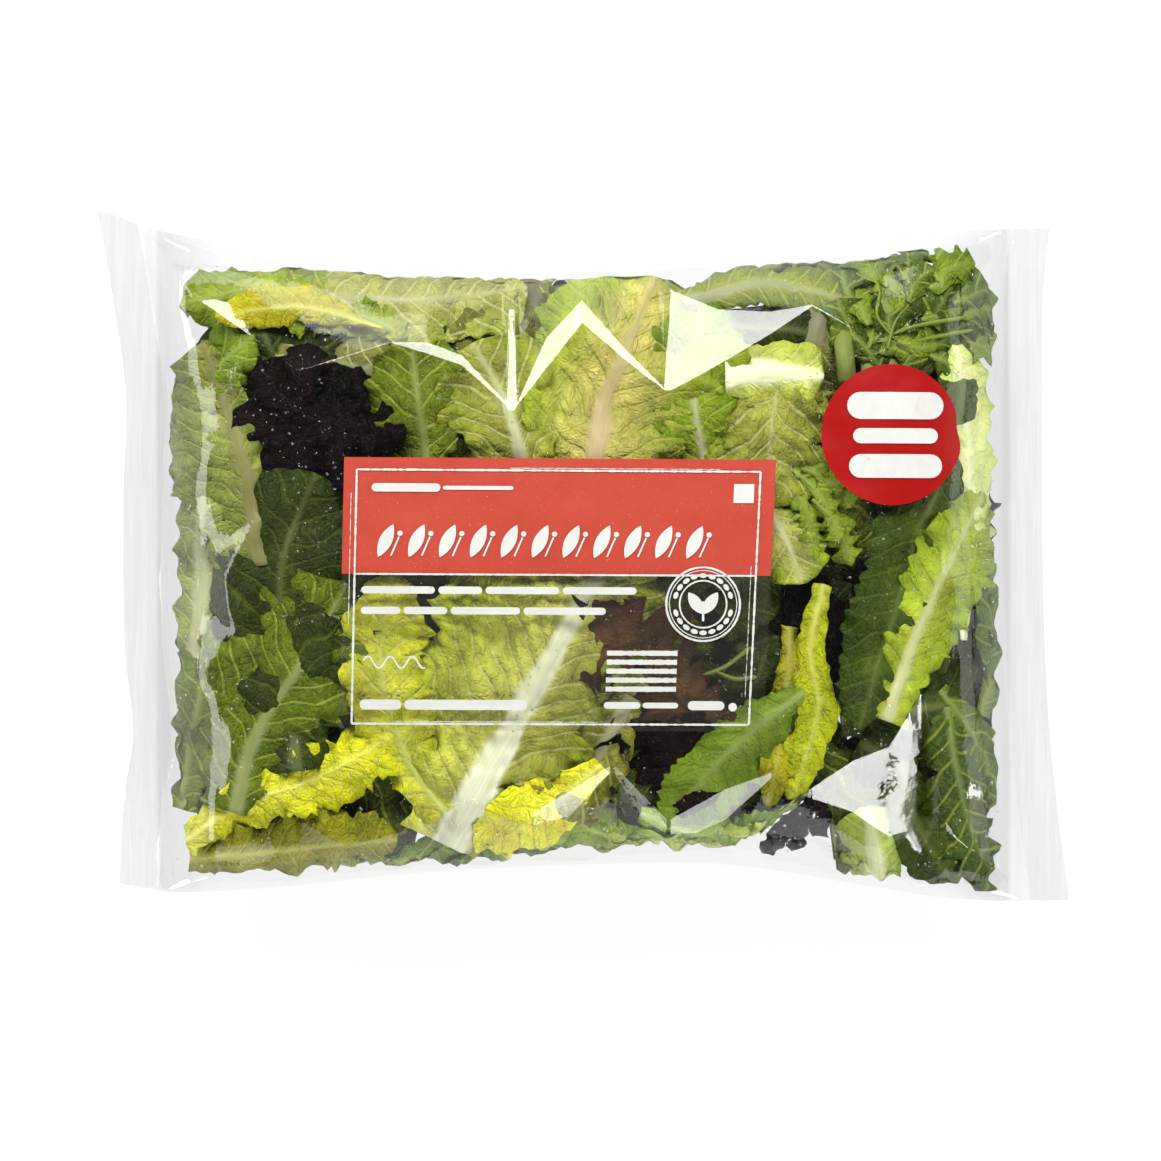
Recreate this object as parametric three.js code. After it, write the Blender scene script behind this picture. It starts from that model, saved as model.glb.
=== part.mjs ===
// A clear pillow bag of salad leaves, lying on its back with the printed side up.
// Millimetres, +Z up, +X along the bag's length, +Y towards the far long edge. The origin is under the middle.
// The bag is the filled film tube as one closed solid with two flat crimped ends. Its shown side has an upper
// face inside two creased rims, and from there the film falls in facets to the long edges.
// The label and the round sticker are thin sheets that lie on the upper face.
import * as THREE from "three";

// Driving dimensions of the bag.
const HEIGHT = 74;
const CROWN = 10;
const SEAL_WIDTH = 14;
const SEAL_THICKNESS = 1;
const SEAL_HEIGHT = 25;
const SEAL_DROOP = 9;
const EDGE_HEIGHT = 31;
const BODY_HALF = 151;
const WIDEST_HALF = 125;

// The outline seen from above: how far out each edge lies at places along it.
const FAR_EDGE = [
  [-175, 125], [-161, 123], [-144, 116], [-101, 106.5], [-26, 102], [49, 106], [102, 109], [129, 115.5], [168, 118],
];
const NEAR_EDGE = [
  [-167, 118], [-144, 121], [-101, 118], [-50, 113], [30, 110], [59, 111.5], [102, 118.5], [134, 123.5], [175, 124.5],
];
const LEFT_END = [[-118, 167], [-87, 165], [-64, 161.5], [-34, 164.5], [20, 165], [56, 164], [95, 169.5], [125, 175]];
const RIGHT_END = [[-124.5, 175], [-98, 171], [-60, 167], [-20, 165], [20, 164.5], [91, 165], [118, 167.5]];
const END_REACH = 8;

// The creased rims of the upper face, as corners [along, out from the middle, width of the facet outside it].
const FAR_RIM = [
  [-151, 119, 0.5], [-137, 92, 0.5], [-101, 65, 1], [-68, 75, 1], [-55, 71, 4], [-43, 67, 3.5], [-27.5, 53, 1],
  [-26.5, 51, 36], [-24.5, 51, 36], [-23.5, 52.5, 1], [-13, 66, 11], [-0.5, 82, 8], [14, 69.5, 4], [28.5, 58, 1],
  [31, 58, 36], [47.5, 67, 20], [66, 78, 8], [81, 88, 1], [106, 74, 1], [134, 94, 1], [151, 112, 0.5],
];
const NEAR_RIM = [
  [-151, 116, 0.5], [-112, 87, 1], [-85, 103, 1], [-51, 82, 10], [-19, 92, 6], [10.5, 74, 1], [30, 94, 3],
  [50, 83, 8], [66.5, 77, 1], [80, 83, 2], [95, 73, 18], [108, 68, 32], [121, 48, 48], [128, 87, 9],
  [131, 97, 1], [151, 120, 0.5],
];
const FACET_SLOPE = 0.4;

// How the film swells from the crimped ends, and how it rounds over to the long edges.
const TOP_FILL = { along: 4.6, root: 0.6 };
const BASE_FILL = { along: 5, root: 0.7 };
const BASE_SECTION = { across: 5, root: 0.45 };
const BASE_FLATTENING = 1.08;
const SHOULDER_ROUNDING = 0.72;
const SHOULDER_SPACING = 1.25;

// The sheets on the film. The label is a four-sided sheet given by its corners.
const LABEL = { nearLeft: [-86.5, -62], nearRight: [63.5, -62.5], farRight: [68, 33.5], farLeft: [-84.5, 34.5] };
const STICKER = { x: 109, y: 42.5, diameter: 50 };
const SHEET_GAP = 0.4;
const SHEET_THICKNESS = 0.5;

// Fineness of the faceted solids.
const STATION_GAP = 7;
const CLOSEST_CORNERS = 0.4;
const END_STATIONS = [0.6, 2, 4.4];
const SEAL_STEPS = 2;
const FACE_STEPS = 10;
const SHOULDER_STEPS = 4;
const UNDERSIDE_STEPS = 18;
const LABEL_STEPS = { x: 22, y: 12 };
const STICKER_BANDS = 5;
const STICKER_SPOKES = 36;

const mix = (a, b, share) => a + (b - a) * share;
const clamp = (value, low, high) => Math.min(high, Math.max(low, value));
const count = (length, make) => Array.from({ length }, (_, k) => make(k));

// The rows of a table of corners on both sides of a place, and how far the place is between them.
function between(rows, at) {
  const last = rows.length - 1;
  const place = clamp(at, rows[0][0], rows[last][0]);
  let i = 0;
  while (i < last - 1 && place > rows[i + 1][0]) i += 1;
  return { i, last, share: (place - rows[i][0]) / (rows[i + 1][0] - rows[i][0]) };
}

// A smooth curve through the corners of an edge.
function curve(rows, at) {
  const { i, last, share: t } = between(rows, at);
  const span = rows[i + 1][0] - rows[i][0];
  const slope = (k) => {
    const [a, b] = [rows[Math.max(0, k - 1)], rows[Math.min(last, k + 1)]];
    return (b[1] - a[1]) / (b[0] - a[0]);
  };
  const start = (1 + 2 * t) * (1 - t) ** 2 * rows[i][1] + t * (1 - t) ** 2 * span * slope(i);
  return start + t * t * (3 - 2 * t) * rows[i + 1][1] + t * t * (t - 1) * span * slope(i + 1);
}

// A straight-sided line through the corners of a rim, read in one column.
function line(rows, at, column) {
  const { i, share } = between(rows, at);
  return mix(rows[i][column], rows[i + 1][column], share);
}

const fill = (x, shape) => Math.max(0, 1 - Math.abs(x / BODY_HALF) ** shape.along) ** shape.root;
const section = (across, shape) => Math.max(0, 1 - Math.abs(across) ** shape.across) ** shape.root;
const sealHeight = (y) => SEAL_HEIGHT - SEAL_DROOP * (y / WIDEST_HALF) ** 2;
const edgeHeight = (x, y) => mix(sealHeight(y), EDGE_HEIGHT, fill(x, TOP_FILL));
const edgeOut = (x, side) => curve(side > 0 ? FAR_EDGE : NEAR_EDGE, x);

// The crimped ends are curved in plan, and the stations near them bend along.
function stationX(x, y) {
  const bend = curve(x > 0 ? RIGHT_END : LEFT_END, y) - SEAL_WIDTH - BODY_HALF;
  return x + Math.sign(x) * bend * Math.min(1, Math.abs(x / BODY_HALF)) ** END_REACH;
}

// The upper face of the film before its shoulders.
function faceHeight(x, y) {
  const seal = sealHeight(y) + SEAL_THICKNESS / 2;
  return seal + (HEIGHT - CROWN * (y / 100) ** 2 - seal) * fill(x, TOP_FILL);
}

// The film outside one rim of a station: a facet of even slope, then a rounded shoulder down to the edge.
function shoulder(x, side) {
  const rim = side > 0 ? FAR_RIM : NEAR_RIM;
  const edge = edgeOut(x, side);
  const start = Math.min(line(rim, x, 1), edge - 3);
  const facet = Math.min(line(rim, x, 2), edge - start - 2);
  const edgeZ = edgeHeight(x, edge);
  const facetZ = Math.max(edgeZ + 0.4, faceHeight(x, start) - facet * FACET_SLOPE);
  const rows = count(SHOULDER_STEPS + 1, (k) => {
    const share = k / SHOULDER_STEPS;
    const out = 1 - (1 - share) ** SHOULDER_SPACING;
    const fall = 1 - (1 - share) ** SHOULDER_ROUNDING;
    return [side * mix(start + facet, edge, out), mix(facetZ, edgeZ, fall)];
  });
  return { start, rows };
}

// The underside of a station without its two edges. It lies flat on the table in the middle.
function underside(x) {
  const isSeal = Math.abs(x) >= BODY_HALF;
  return count(UNDERSIDE_STEPS - 1, (k) => {
    const across = -Math.cos((Math.PI * (k + 1)) / UNDERSIDE_STEPS);
    const y = mix(-edgeOut(x, -1), edgeOut(x, 1), (across + 1) / 2);
    const middle = edgeHeight(x, y);
    const drop = section(across, BASE_SECTION) * fill(x, BASE_FILL) * BASE_FLATTENING;
    const thin = middle - SEAL_THICKNESS / 2;
    return [y, Math.max(0, isSeal ? thin : Math.min(thin, middle * (1 - drop)))];
  });
}

// One station's ring of [y, z] points, from the far edge over the shown side to the near edge and back below.
function ring(x) {
  const far = shoulder(x, 1);
  const near = shoulder(x, -1);
  const face = count(FACE_STEPS + 1, (k) => {
    const y = mix(far.start, -near.start, k / FACE_STEPS);
    return [y, faceHeight(x, y)];
  });
  return [...far.rows.reverse(), ...face, ...near.rows, ...underside(x)];
}

// Stations along the bag, with one at every corner of a rim, so that each crease is sharp.
function stationPlaces() {
  const corners = [...FAR_RIM, ...NEAR_RIM].map((row) => row[0]).sort((a, b) => a - b);
  const kept = corners.filter((x, i) => i === 0 || x - corners[i - 1] > CLOSEST_CORNERS);
  const body = kept.flatMap((x, i) => {
    const gap = (kept[i + 1] ?? x) - x;
    const steps = Math.max(1, Math.round(gap / STATION_GAP));
    return count(steps, (k) => x + (gap * k) / steps);
  });
  const ends = END_STATIONS.map((inward) => BODY_HALF - inward);
  const seals = count(SEAL_STEPS, (k) => BODY_HALF + (SEAL_WIDTH * (k + 1)) / SEAL_STEPS);
  const outer = [...ends, ...seals];
  return [...body, ...outer, ...outer.map((x) => -x)].sort((a, b) => a - b);
}

// A closed mesh from points and index triples.
function closedGeometry(points, triangles) {
  const geometry = new THREE.BufferGeometry();
  geometry.setAttribute("position", new THREE.Float32BufferAttribute(points.flat(), 3));
  geometry.setIndex(triangles.flat());
  geometry.computeVertexNormals();
  return geometry;
}

// The whole film tube: rings joined one to the next, and closed across the outer edge of each crimp.
function bagGeometry() {
  const places = stationPlaces();
  const rings = places.map((x) => ring(x).map(([y, z]) => [stationX(x, y), y, z]));
  const points = rings.flat();
  const size = rings[0].length;
  const triangles = [];
  for (let i = 0; i < places.length - 1; i += 1) {
    for (let k = 0; k < size; k += 1) {
      const a = i * size + k;
      const b = i * size + ((k + 1) % size);
      triangles.push([a, b, b + size], [a, b + size, a + size]);
    }
  }
  const lastRing = (places.length - 1) * size;
  triangles.push(...endCap(points, 0, size, 1), ...endCap(points, lastRing, size, -1));
  return closedGeometry(points, triangles);
}

// The narrow strip that closes one end: its upper and lower rows of points are joined from far to near.
function endCap(points, first, size, facing) {
  const upperCount = size - UNDERSIDE_STEPS + 1;
  const upper = count(upperCount, (k) => first + k);
  const below = count(UNDERSIDE_STEPS - 1, (k) => first + size - 1 - k);
  const lower = [first, ...below, upper[upperCount - 1]];
  const triangles = [];
  let [u, l] = [0, 0];
  while (u < upper.length - 1 || l < lower.length - 1) {
    const nextUpper = u < upper.length - 1 ? points[upper[u + 1]][1] : -Infinity;
    const nextLower = l < lower.length - 1 ? points[lower[l + 1]][1] : -Infinity;
    const goesUpper = nextUpper >= nextLower;
    const triple = [upper[u], lower[l], goesUpper ? upper[u + 1] : lower[l + 1]];
    if (new Set(triple).size === 3) triangles.push(facing > 0 ? triple : triple.reverse());
    if (goesUpper) u += 1;
    else l += 1;
  }
  return triangles;
}

// The height of the upper face over a plan point, which lies on a bent station.
function shownHeight(x, y) {
  let station = x;
  for (let pass = 0; pass < 8; pass += 1) station += x - stationX(station, y);
  return faceHeight(station, y);
}

// A thin sheet that follows the film: plan points lifted to the film, with their own thickness.
function sheetGeometry(plan, planTriangles, rim) {
  const total = plan.length;
  const under = plan.map(([x, y]) => [x, y, shownHeight(x, y) + SHEET_GAP]);
  const over = under.map(([x, y, z]) => [x, y, z + SHEET_THICKNESS]);
  const triangles = [];
  for (const [a, b, c] of planTriangles) triangles.push([a + total, b + total, c + total], [a, c, b]);
  rim.forEach((a, i) => {
    const b = rim[(i + 1) % rim.length];
    triangles.push([a, b, b + total], [a, b + total, a + total]);
  });
  return closedGeometry([...under, ...over], triangles);
}

function labelGeometry() {
  const { x: nx, y: ny } = LABEL_STEPS;
  const corner = (axis, u, v) => {
    const near = mix(LABEL.nearLeft[axis], LABEL.nearRight[axis], u);
    return mix(near, mix(LABEL.farLeft[axis], LABEL.farRight[axis], u), v);
  };
  const plan = [];
  for (let j = 0; j <= ny; j += 1) {
    for (let i = 0; i <= nx; i += 1) plan.push([corner(0, i / nx, j / ny), corner(1, i / nx, j / ny)]);
  }
  const at = (i, j) => j * (nx + 1) + i;
  const triangles = [];
  for (let j = 0; j < ny; j += 1) {
    for (let i = 0; i < nx; i += 1) {
      triangles.push([at(i, j), at(i + 1, j), at(i + 1, j + 1)], [at(i, j), at(i + 1, j + 1), at(i, j + 1)]);
    }
  }
  const rim = [
    ...count(nx, (i) => at(i, 0)), ...count(ny, (j) => at(nx, j)),
    ...count(nx, (i) => at(nx - i, ny)), ...count(ny, (j) => at(0, ny - j)),
  ];
  return sheetGeometry(plan, triangles, rim);
}

function stickerGeometry() {
  const plan = [[STICKER.x, STICKER.y]];
  for (let band = 1; band <= STICKER_BANDS; band += 1) {
    const radius = (STICKER.diameter / 2) * (band / STICKER_BANDS);
    for (let s = 0; s < STICKER_SPOKES; s += 1) {
      const angle = (2 * Math.PI * s) / STICKER_SPOKES;
      plan.push([STICKER.x + radius * Math.cos(angle), STICKER.y + radius * Math.sin(angle)]);
    }
  }
  const at = (band, s) => 1 + (band - 1) * STICKER_SPOKES + (s % STICKER_SPOKES);
  const triangles = [];
  for (let s = 0; s < STICKER_SPOKES; s += 1) {
    triangles.push([0, at(1, s), at(1, s + 1)]);
    for (let band = 1; band < STICKER_BANDS; band += 1) {
      triangles.push([at(band, s), at(band + 1, s), at(band + 1, s + 1)]);
      triangles.push([at(band, s), at(band + 1, s + 1), at(band, s + 1)]);
    }
  }
  return sheetGeometry(plan, triangles, count(STICKER_SPOKES, (s) => at(STICKER_BANDS, s)));
}

function piece(name, geometry, look) {
  const mesh = new THREE.Mesh(geometry, new THREE.MeshStandardMaterial(look));
  mesh.name = name;
  return mesh;
}

const bagOfSalad = new THREE.Group();
bagOfSalad.add(piece("bag", bagGeometry(), { color: 0x9fb556, roughness: 0.25, metalness: 0 }));
bagOfSalad.add(piece("label", labelGeometry(), { color: 0xd9544a, roughness: 0.35, metalness: 0 }));
bagOfSalad.add(piece("sticker", stickerGeometry(), { color: 0xc8161b, roughness: 0.3, metalness: 0 }));

export default bagOfSalad;
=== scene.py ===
"""A clear pillow bag of mixed salad leaves, lying on its back.

Sizes are in millimetres until a mesh is made, and x and y on the bag are those of the frame.
"""
import math

import bpy
import numpy as np
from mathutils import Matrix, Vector


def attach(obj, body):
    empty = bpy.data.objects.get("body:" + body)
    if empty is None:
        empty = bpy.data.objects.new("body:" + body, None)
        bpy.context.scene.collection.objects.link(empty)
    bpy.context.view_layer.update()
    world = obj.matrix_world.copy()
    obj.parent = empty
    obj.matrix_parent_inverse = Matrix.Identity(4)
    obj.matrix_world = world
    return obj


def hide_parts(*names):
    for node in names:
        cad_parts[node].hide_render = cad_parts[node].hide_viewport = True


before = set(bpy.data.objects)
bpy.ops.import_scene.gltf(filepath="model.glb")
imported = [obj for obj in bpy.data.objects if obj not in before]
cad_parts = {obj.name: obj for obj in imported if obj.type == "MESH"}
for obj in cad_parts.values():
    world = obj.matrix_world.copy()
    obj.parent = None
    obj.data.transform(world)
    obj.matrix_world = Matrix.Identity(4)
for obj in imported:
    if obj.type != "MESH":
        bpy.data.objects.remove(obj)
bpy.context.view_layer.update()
MM = 0.001

# The photograph's frame: how many of its pixels make a millimetre, and where the bag's middle is in it.
PHOTO_SIZE = 1161
PIXELS_PER_MM = 2.803
MM_PER_PIXEL = 1 / PIXELS_PER_MM
PHOTO_MIDDLE = (583.5, 555.0)
# The camera's height and the height at which that scale holds, in metres.
CAMERA_HEIGHT = 3.04
SCALE_PLANE = 0.04

# The bag's form, in the same sizes as the solid.
HEIGHT = 74
CROWN = 10
SEAL_WIDTH = 14
SEAL_HEIGHT = 25
SEAL_DROOP = 9
SEAL_THICKNESS = 1
FILM_GAP_IN_SEAL = 0.3
EDGE_HEIGHT = 31
BODY_HALF = 151
WIDEST_HALF = 125
# The bag's outline: the long edges as station and distance out, the ends as place across and distance out.
FAR_EDGE = [
    (-175, 125), (-161, 123), (-144, 116), (-101, 106.5), (-26, 102), (49, 106), (102, 109),
    (129, 115.5), (168, 118),
]
NEAR_EDGE = [
    (-167, 118), (-144, 121), (-101, 118), (-50, 113), (30, 110), (59, 111.5), (102, 118.5),
    (134, 123.5), (175, 124.5),
]
LEFT_END = [
    (-118, 167), (-87, 165), (-64, 161.5), (-34, 164.5), (20, 165), (56, 164), (95, 169.5), (125, 175),
]
RIGHT_END = [(-124.5, 175), (-98, 171), (-60, 167), (-20, 165), (20, 164.5), (91, 165), (118, 167.5)]
END_REACH = 8
# The rims of the clear face: station, the rim's distance out, and how wide the facet beyond it is.
FAR_RIM = [
    (-151, 119, 0.1), (-137, 92, 0.03), (-101, 65, 0.03), (-68, 75, 0.3), (-55, 71, 4), (-43, 67, 3.5),
    (-27.5, 53, 1), (-26.5, 51, 36), (-24.5, 51, 36), (-23.5, 52.5, 1), (-13, 66, 11), (-0.5, 82, 8),
    (14, 69.5, 4), (28.5, 58, 1), (31, 58, 36), (47.5, 67, 20), (66, 78, 8), (81, 88, 0.6),
    (106, 74, 0.03), (134, 94, 0.03), (151, 112, 0.1),
]
NEAR_RIM = [
    (-151, 116, 0.1), (-112, 87, 0.03), (-85, 103, 0.3), (-55, 84, 12), (-45, 84, 3), (-19, 92, 4),
    (-5, 83.5, 9), (10.5, 74, 2), (20, 84, 9), (30, 94, 5), (40, 88.5, 10), (50, 83, 11), (66.5, 77, 2),
    (80, 83, 3), (95, 73, 18), (108, 68, 32), (119.5, 49, 48), (127.5, 95, 3), (131, 101, 0.3),
    (151, 120, 0.1),
]
# A facet falls by this share of its width, and stays this far over the edge.
FACET_SLOPE = 0.4
FACET_OVER_EDGE = 0.4
# How the height fades to the ends, as two powers, and how round the section is.
TOP_FILL = (4.6, 0.6)
BASE_FILL = (5, 0.7)
BASE_SECTION = (5, 0.45)
BASE_FLATTENING = 1.08
SHOULDER_ROUNDING = 0.72
SHOULDER_SPACING = 1.25

# Sheets on the film, with the label given by its corners.
LABEL_CORNERS = {
    "near_left": (-86.5, -62), "near_right": (63.5, -62.5),
    "far_left": (-84.5, 34.5), "far_right": (68, 33.5),
}
STICKER_MIDDLE = (109, 42.5)
STICKER_RADIUS = 25


def mix(a, b, share):
    return a + (b - a) * share


def smooth(low, high, value):
    t = np.clip((value - low) / (high - low), 0, 1)
    return t * t * (3 - 2 * t)


def plan(px, py):
    """A place in the photograph as a place on the bag, in millimetres."""
    return ((px - PHOTO_MIDDLE[0]) / PIXELS_PER_MM, (PHOTO_MIDDLE[1] - py) / PIXELS_PER_MM)


def curve(rows, at):
    """A smooth curve through the corners of an edge."""
    xs, ys = np.array(rows, float).T
    before, after = np.maximum(np.arange(len(xs)) - 1, 0), np.minimum(np.arange(len(xs)) + 1, len(xs) - 1)
    slopes = (ys[after] - ys[before]) / (xs[after] - xs[before])
    place = np.clip(at, xs[0], xs[-1])
    i = np.clip(np.searchsorted(xs, place, side="right") - 1, 0, len(xs) - 2)
    span = xs[i + 1] - xs[i]
    t = (place - xs[i]) / span
    start = (1 + 2 * t) * (1 - t) ** 2 * ys[i] + t * (1 - t) ** 2 * span * slopes[i]
    return start + t * t * (3 - 2 * t) * ys[i + 1] + t * t * (t - 1) * span * slopes[i + 1]


def line(rows, at, column):
    """A straight-sided line through the corners of a rim."""
    table = np.array(rows, float)
    return np.interp(at, table[:, 0], table[:, column])


def fill(x, shape):
    return np.maximum(0, 1 - np.abs(x / BODY_HALF) ** shape[0]) ** shape[1]


def seal_height(y):
    return SEAL_HEIGHT - SEAL_DROOP * (y / WIDEST_HALF) ** 2


def edge_height(x, y):
    return mix(seal_height(y), EDGE_HEIGHT, fill(x, TOP_FILL))


def edge_out(x, side):
    return np.where(np.asarray(side) > 0, curve(FAR_EDGE, x), curve(NEAR_EDGE, x))


def station_x(x, y):
    end = np.where(x > 0, curve(RIGHT_END, y), curve(LEFT_END, y)) - SEAL_WIDTH - BODY_HALF
    return x + np.sign(x) * end * np.minimum(1, np.abs(x / BODY_HALF)) ** END_REACH


def station_of(x, y, passes=6):
    """The station that runs through a plan point."""
    station = np.array(x, float)
    for _ in range(passes):
        station = station + x - station_x(station, y)
    return station


def face_height(x, y):
    seal = seal_height(y) + SEAL_THICKNESS / 2
    return seal + (HEIGHT - CROWN * (y / 100) ** 2 - seal) * fill(x, TOP_FILL)


def rim_rows(x, side):
    """At a station: where the rim is, where its facet ends, where the edge is, and the last two heights."""
    edge = edge_out(x, side)
    far = np.asarray(side) > 0
    rim, width = (np.where(far, line(FAR_RIM, x, k), line(NEAR_RIM, x, k)) for k in (1, 2))
    start = np.minimum(rim, edge - 3)
    facet = np.minimum(width, edge - start - 2)
    edge_z = edge_height(x, edge)
    facet_z = np.maximum(edge_z + FACET_OVER_EDGE, face_height(x, start) - facet * FACET_SLOPE)
    return start, start + facet, edge, facet_z, edge_z


class Waves:
    """Smooth seeded noise over the plan: a sum of sine waves of about one length each way."""

    def __init__(self, seed, length_x, length_y, count=14):
        rng = np.random.default_rng(seed)
        angle = rng.uniform(0, 2 * np.pi, count)
        scale = rng.uniform(0.7, 1.5, count) * 2 * np.pi
        self.kx = scale * np.cos(angle) / length_x
        self.ky = scale * np.sin(angle) / length_y
        self.phase = rng.uniform(0, 2 * np.pi, count)

    def __call__(self, x, y):
        turns = np.multiply.outer(x, self.kx) + np.multiply.outer(y, self.ky) + self.phase
        return np.sin(turns).sum(-1) / math.sqrt(len(self.phase) / 2)


def even_waves(x, y, seed, length, count):
    """Noise of the same length both ways, at plan points."""
    return Waves(seed, length, length, count)(x, y)


# The film's relief: its waves, their heights in millimetres, and the distances over which each fades in.
FILM_SWELL = Waves(11, 70, 55)
FILM_DENTS = Waves(12, 24, 20)
END_STREAKS = Waves(13, 7, 60)
END_SWELL = Waves(14, 50, 64)
SWELL_HEIGHT = 0.36
DENT_HEIGHT = 0.13
STREAK_HEIGHT = 0.07
LEFT_SWELL_HEIGHT = 1.5
RIGHT_SWELL_HEIGHT = 0.7
FROM_EDGE = (2, 16)
FROM_RIM = (8, 34)
FROM_MIDDLE = (109, 135)
FROM_SEAL = (0, 7)
CREASE_FROM_EDGE = (0, 10)
CREASE_SPREAD = 1.6

# Raised creases in the upper face, as photograph points, with their height and half width in millimetres.
CREASES = [
    ([(276, 494), (258, 530), (226, 574), (230, 606), (246, 640)], 1.9, 3.1),
    ([(352, 722), (333, 770), (318, 800), (312, 835)], 0.7, 2.2),
    ([(300, 700), (268, 742), (250, 790)], 0.5, 2.0),
    ([(905, 675), (886, 700), (930, 716)], 0.8, 2.4),
    ([(465, 360), (485, 335), (492, 318)], 0.6, 1.6),
    ([(1003, 560), (1001, 620), (1010, 668)], 0.7, 1.8),
]


def crease_height(x, y):
    """How far the creases raise the film, each fading to its ends."""
    total = np.zeros(np.broadcast(x, y).shape)
    for points, height, half in CREASES:
        route = [plan(*p) for p in points]
        nearest = np.full(total.shape, 1e9)
        ends = np.zeros(total.shape)
        for k, ((ax, ay), (bx, by)) in enumerate(zip(route, route[1:])):
            span = (bx - ax) ** 2 + (by - ay) ** 2
            t = np.clip(((x - ax) * (bx - ax) + (y - ay) * (by - ay)) / span, 0, 1)
            away = np.hypot(x - ax - t * (bx - ax), y - ay - t * (by - ay))
            run = (k + t) / (len(route) - 1)
            ends = np.where(away < nearest, np.sin(np.pi * np.clip(run, 0, 1)) ** 0.5, ends)
            nearest = np.minimum(nearest, away)
        total = total + height * ends * np.maximum(0, 1 - nearest / (half * CREASE_SPREAD)) ** 1.5
    return total


def film_relief(station, x, y):
    """How far the film stands off its plain form."""
    side = np.where(np.asarray(y) >= 0, 1, -1)
    to_edge = edge_out(station, side) - np.abs(y)
    to_rim = np.abs(np.abs(y) - rim_rows(station, side)[0])
    off_edge = smooth(*CREASE_FROM_EDGE, to_edge)
    inner = smooth(*FROM_EDGE, to_edge) * smooth(0, 0.5, fill(station, TOP_FILL))
    inner = inner * (0.2 + 0.8 * smooth(*FROM_RIM, to_rim))
    end = smooth(*FROM_MIDDLE, np.abs(station)) * smooth(*FROM_SEAL, BODY_HALF - np.abs(station))
    swell_height = np.where(x < 0, LEFT_SWELL_HEIGHT, RIGHT_SWELL_HEIGHT)
    relief = inner * (SWELL_HEIGHT * FILM_SWELL(x, y) + DENT_HEIGHT * FILM_DENTS(x, y))
    end_relief = STREAK_HEIGHT * END_STREAKS(x, y) + swell_height * END_SWELL(x, y)
    return relief + end * off_edge * end_relief + crease_height(x, y) * off_edge


def film_top(x, y):
    """The height of the shown side of the film over any plan point."""
    station = station_of(x, y)
    side = np.where(np.asarray(y) >= 0, 1, -1)
    out = np.abs(y)
    start, facet_end, edge, facet_z, edge_z = rim_rows(station, side)
    upper = face_height(station, side * np.minimum(out, start))
    on_facet = np.clip((out - start) / np.maximum(facet_end - start, 1e-6), 0, 1)
    beyond = np.clip((out - facet_end) / np.maximum(edge - facet_end, 1e-6), 0, 1)
    fallen = 1 - (1 - beyond) ** (SHOULDER_ROUNDING / SHOULDER_SPACING)
    z = mix(mix(upper, facet_z, on_facet), edge_z, fallen)
    return z + film_relief(station, x, y)


def base_drop(station, across):
    """The share of the edge's height by which the underside lies lower, from -1 to 1 across the bag."""
    section = np.maximum(0, 1 - np.abs(across) ** BASE_SECTION[0]) ** BASE_SECTION[1]
    return section * fill(station, BASE_FILL) * BASE_FLATTENING


def film_base(x, y):
    """The height of the film's underside over any plan point."""
    station = station_of(x, y)
    far, near = edge_out(station, 1), edge_out(station, -1)
    across = np.clip(2 * (y + near) / (near + far) - 1, -1, 1)
    middle = edge_height(station, y)
    return np.maximum(0, middle * (1 - base_drop(station, across)))


# Meshes.


def put_in_scene(name, data):
    made = bpy.data.objects.new(name, data)
    bpy.context.scene.collection.objects.link(made)
    return made


def make_mesh(name, points, triangles, material, attributes=None, uv=None):
    """A smooth-shaded piece from points in millimetres, with values and texture places per point."""
    mesh = bpy.data.meshes.new(name)
    points = np.asarray(points, float) * MM
    triangles = np.asarray(triangles, np.int32)
    mesh.vertices.add(len(points))
    mesh.vertices.foreach_set("co", points.ravel())
    mesh.loops.add(triangles.size)
    mesh.loops.foreach_set("vertex_index", triangles.ravel())
    mesh.polygons.add(len(triangles))
    mesh.polygons.foreach_set("loop_start", np.arange(0, triangles.size, 3, dtype=np.int32))
    mesh.polygons.foreach_set("use_smooth", np.ones(len(triangles), bool))
    mesh.update(calc_edges=True)
    for key, values in (attributes or {}).items():
        kind = "FLOAT_COLOR" if values.ndim == 2 else "FLOAT"
        layer = mesh.attributes.new(key, kind, "POINT")
        layer.data.foreach_set("color" if values.ndim == 2 else "value", values.astype(float).ravel())
    if uv is not None:
        layer = mesh.uv_layers.new(name="leaf")
        layer.data.foreach_set("uv", np.asarray(uv, float)[triangles.ravel()].ravel())
    mesh.validate()
    mesh.materials.append(material)
    piece = put_in_scene(name, mesh)
    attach(piece, "root")
    return piece


def grid_triangles(rows, columns, first=0):
    """Triangles of a grid of points whose rows run along and whose columns run to the left."""
    i, j = np.meshgrid(np.arange(rows - 1), np.arange(columns - 1), indexing="ij")
    a = (first + i * columns + j).ravel()
    b, c, d = a + columns, a + columns + 1, a + 1
    return np.concatenate([np.stack([a, b, c], 1), np.stack([a, c, d], 1)])


def grid_rim(rows, columns):
    """The outer points of a grid in order, counter-clockwise seen from above."""
    first = [i * columns for i in range(rows - 1)]
    last = [(rows - 1) * columns + j for j in range(columns - 1)]
    back = [i * columns + columns - 1 for i in range(rows - 1, 0, -1)]
    home = list(range(columns - 1, 0, -1))
    return np.array(first + last + back + home)


def thin_solid(upper, lower, triangles, rim):
    """A closed thin solid from two matching faces: their points, triangles and wall."""
    count = len(upper)
    after = np.roll(rim, -1)
    under = triangles[:, ::-1] + count
    first_half = np.stack([rim, rim + count, after + count], 1)
    second_half = np.stack([rim, after + count, after], 1)
    return np.concatenate([upper, lower]), np.concatenate([triangles, under, first_half, second_half])


# Node materials.


WHITE = (1, 1, 1, 1)


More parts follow.
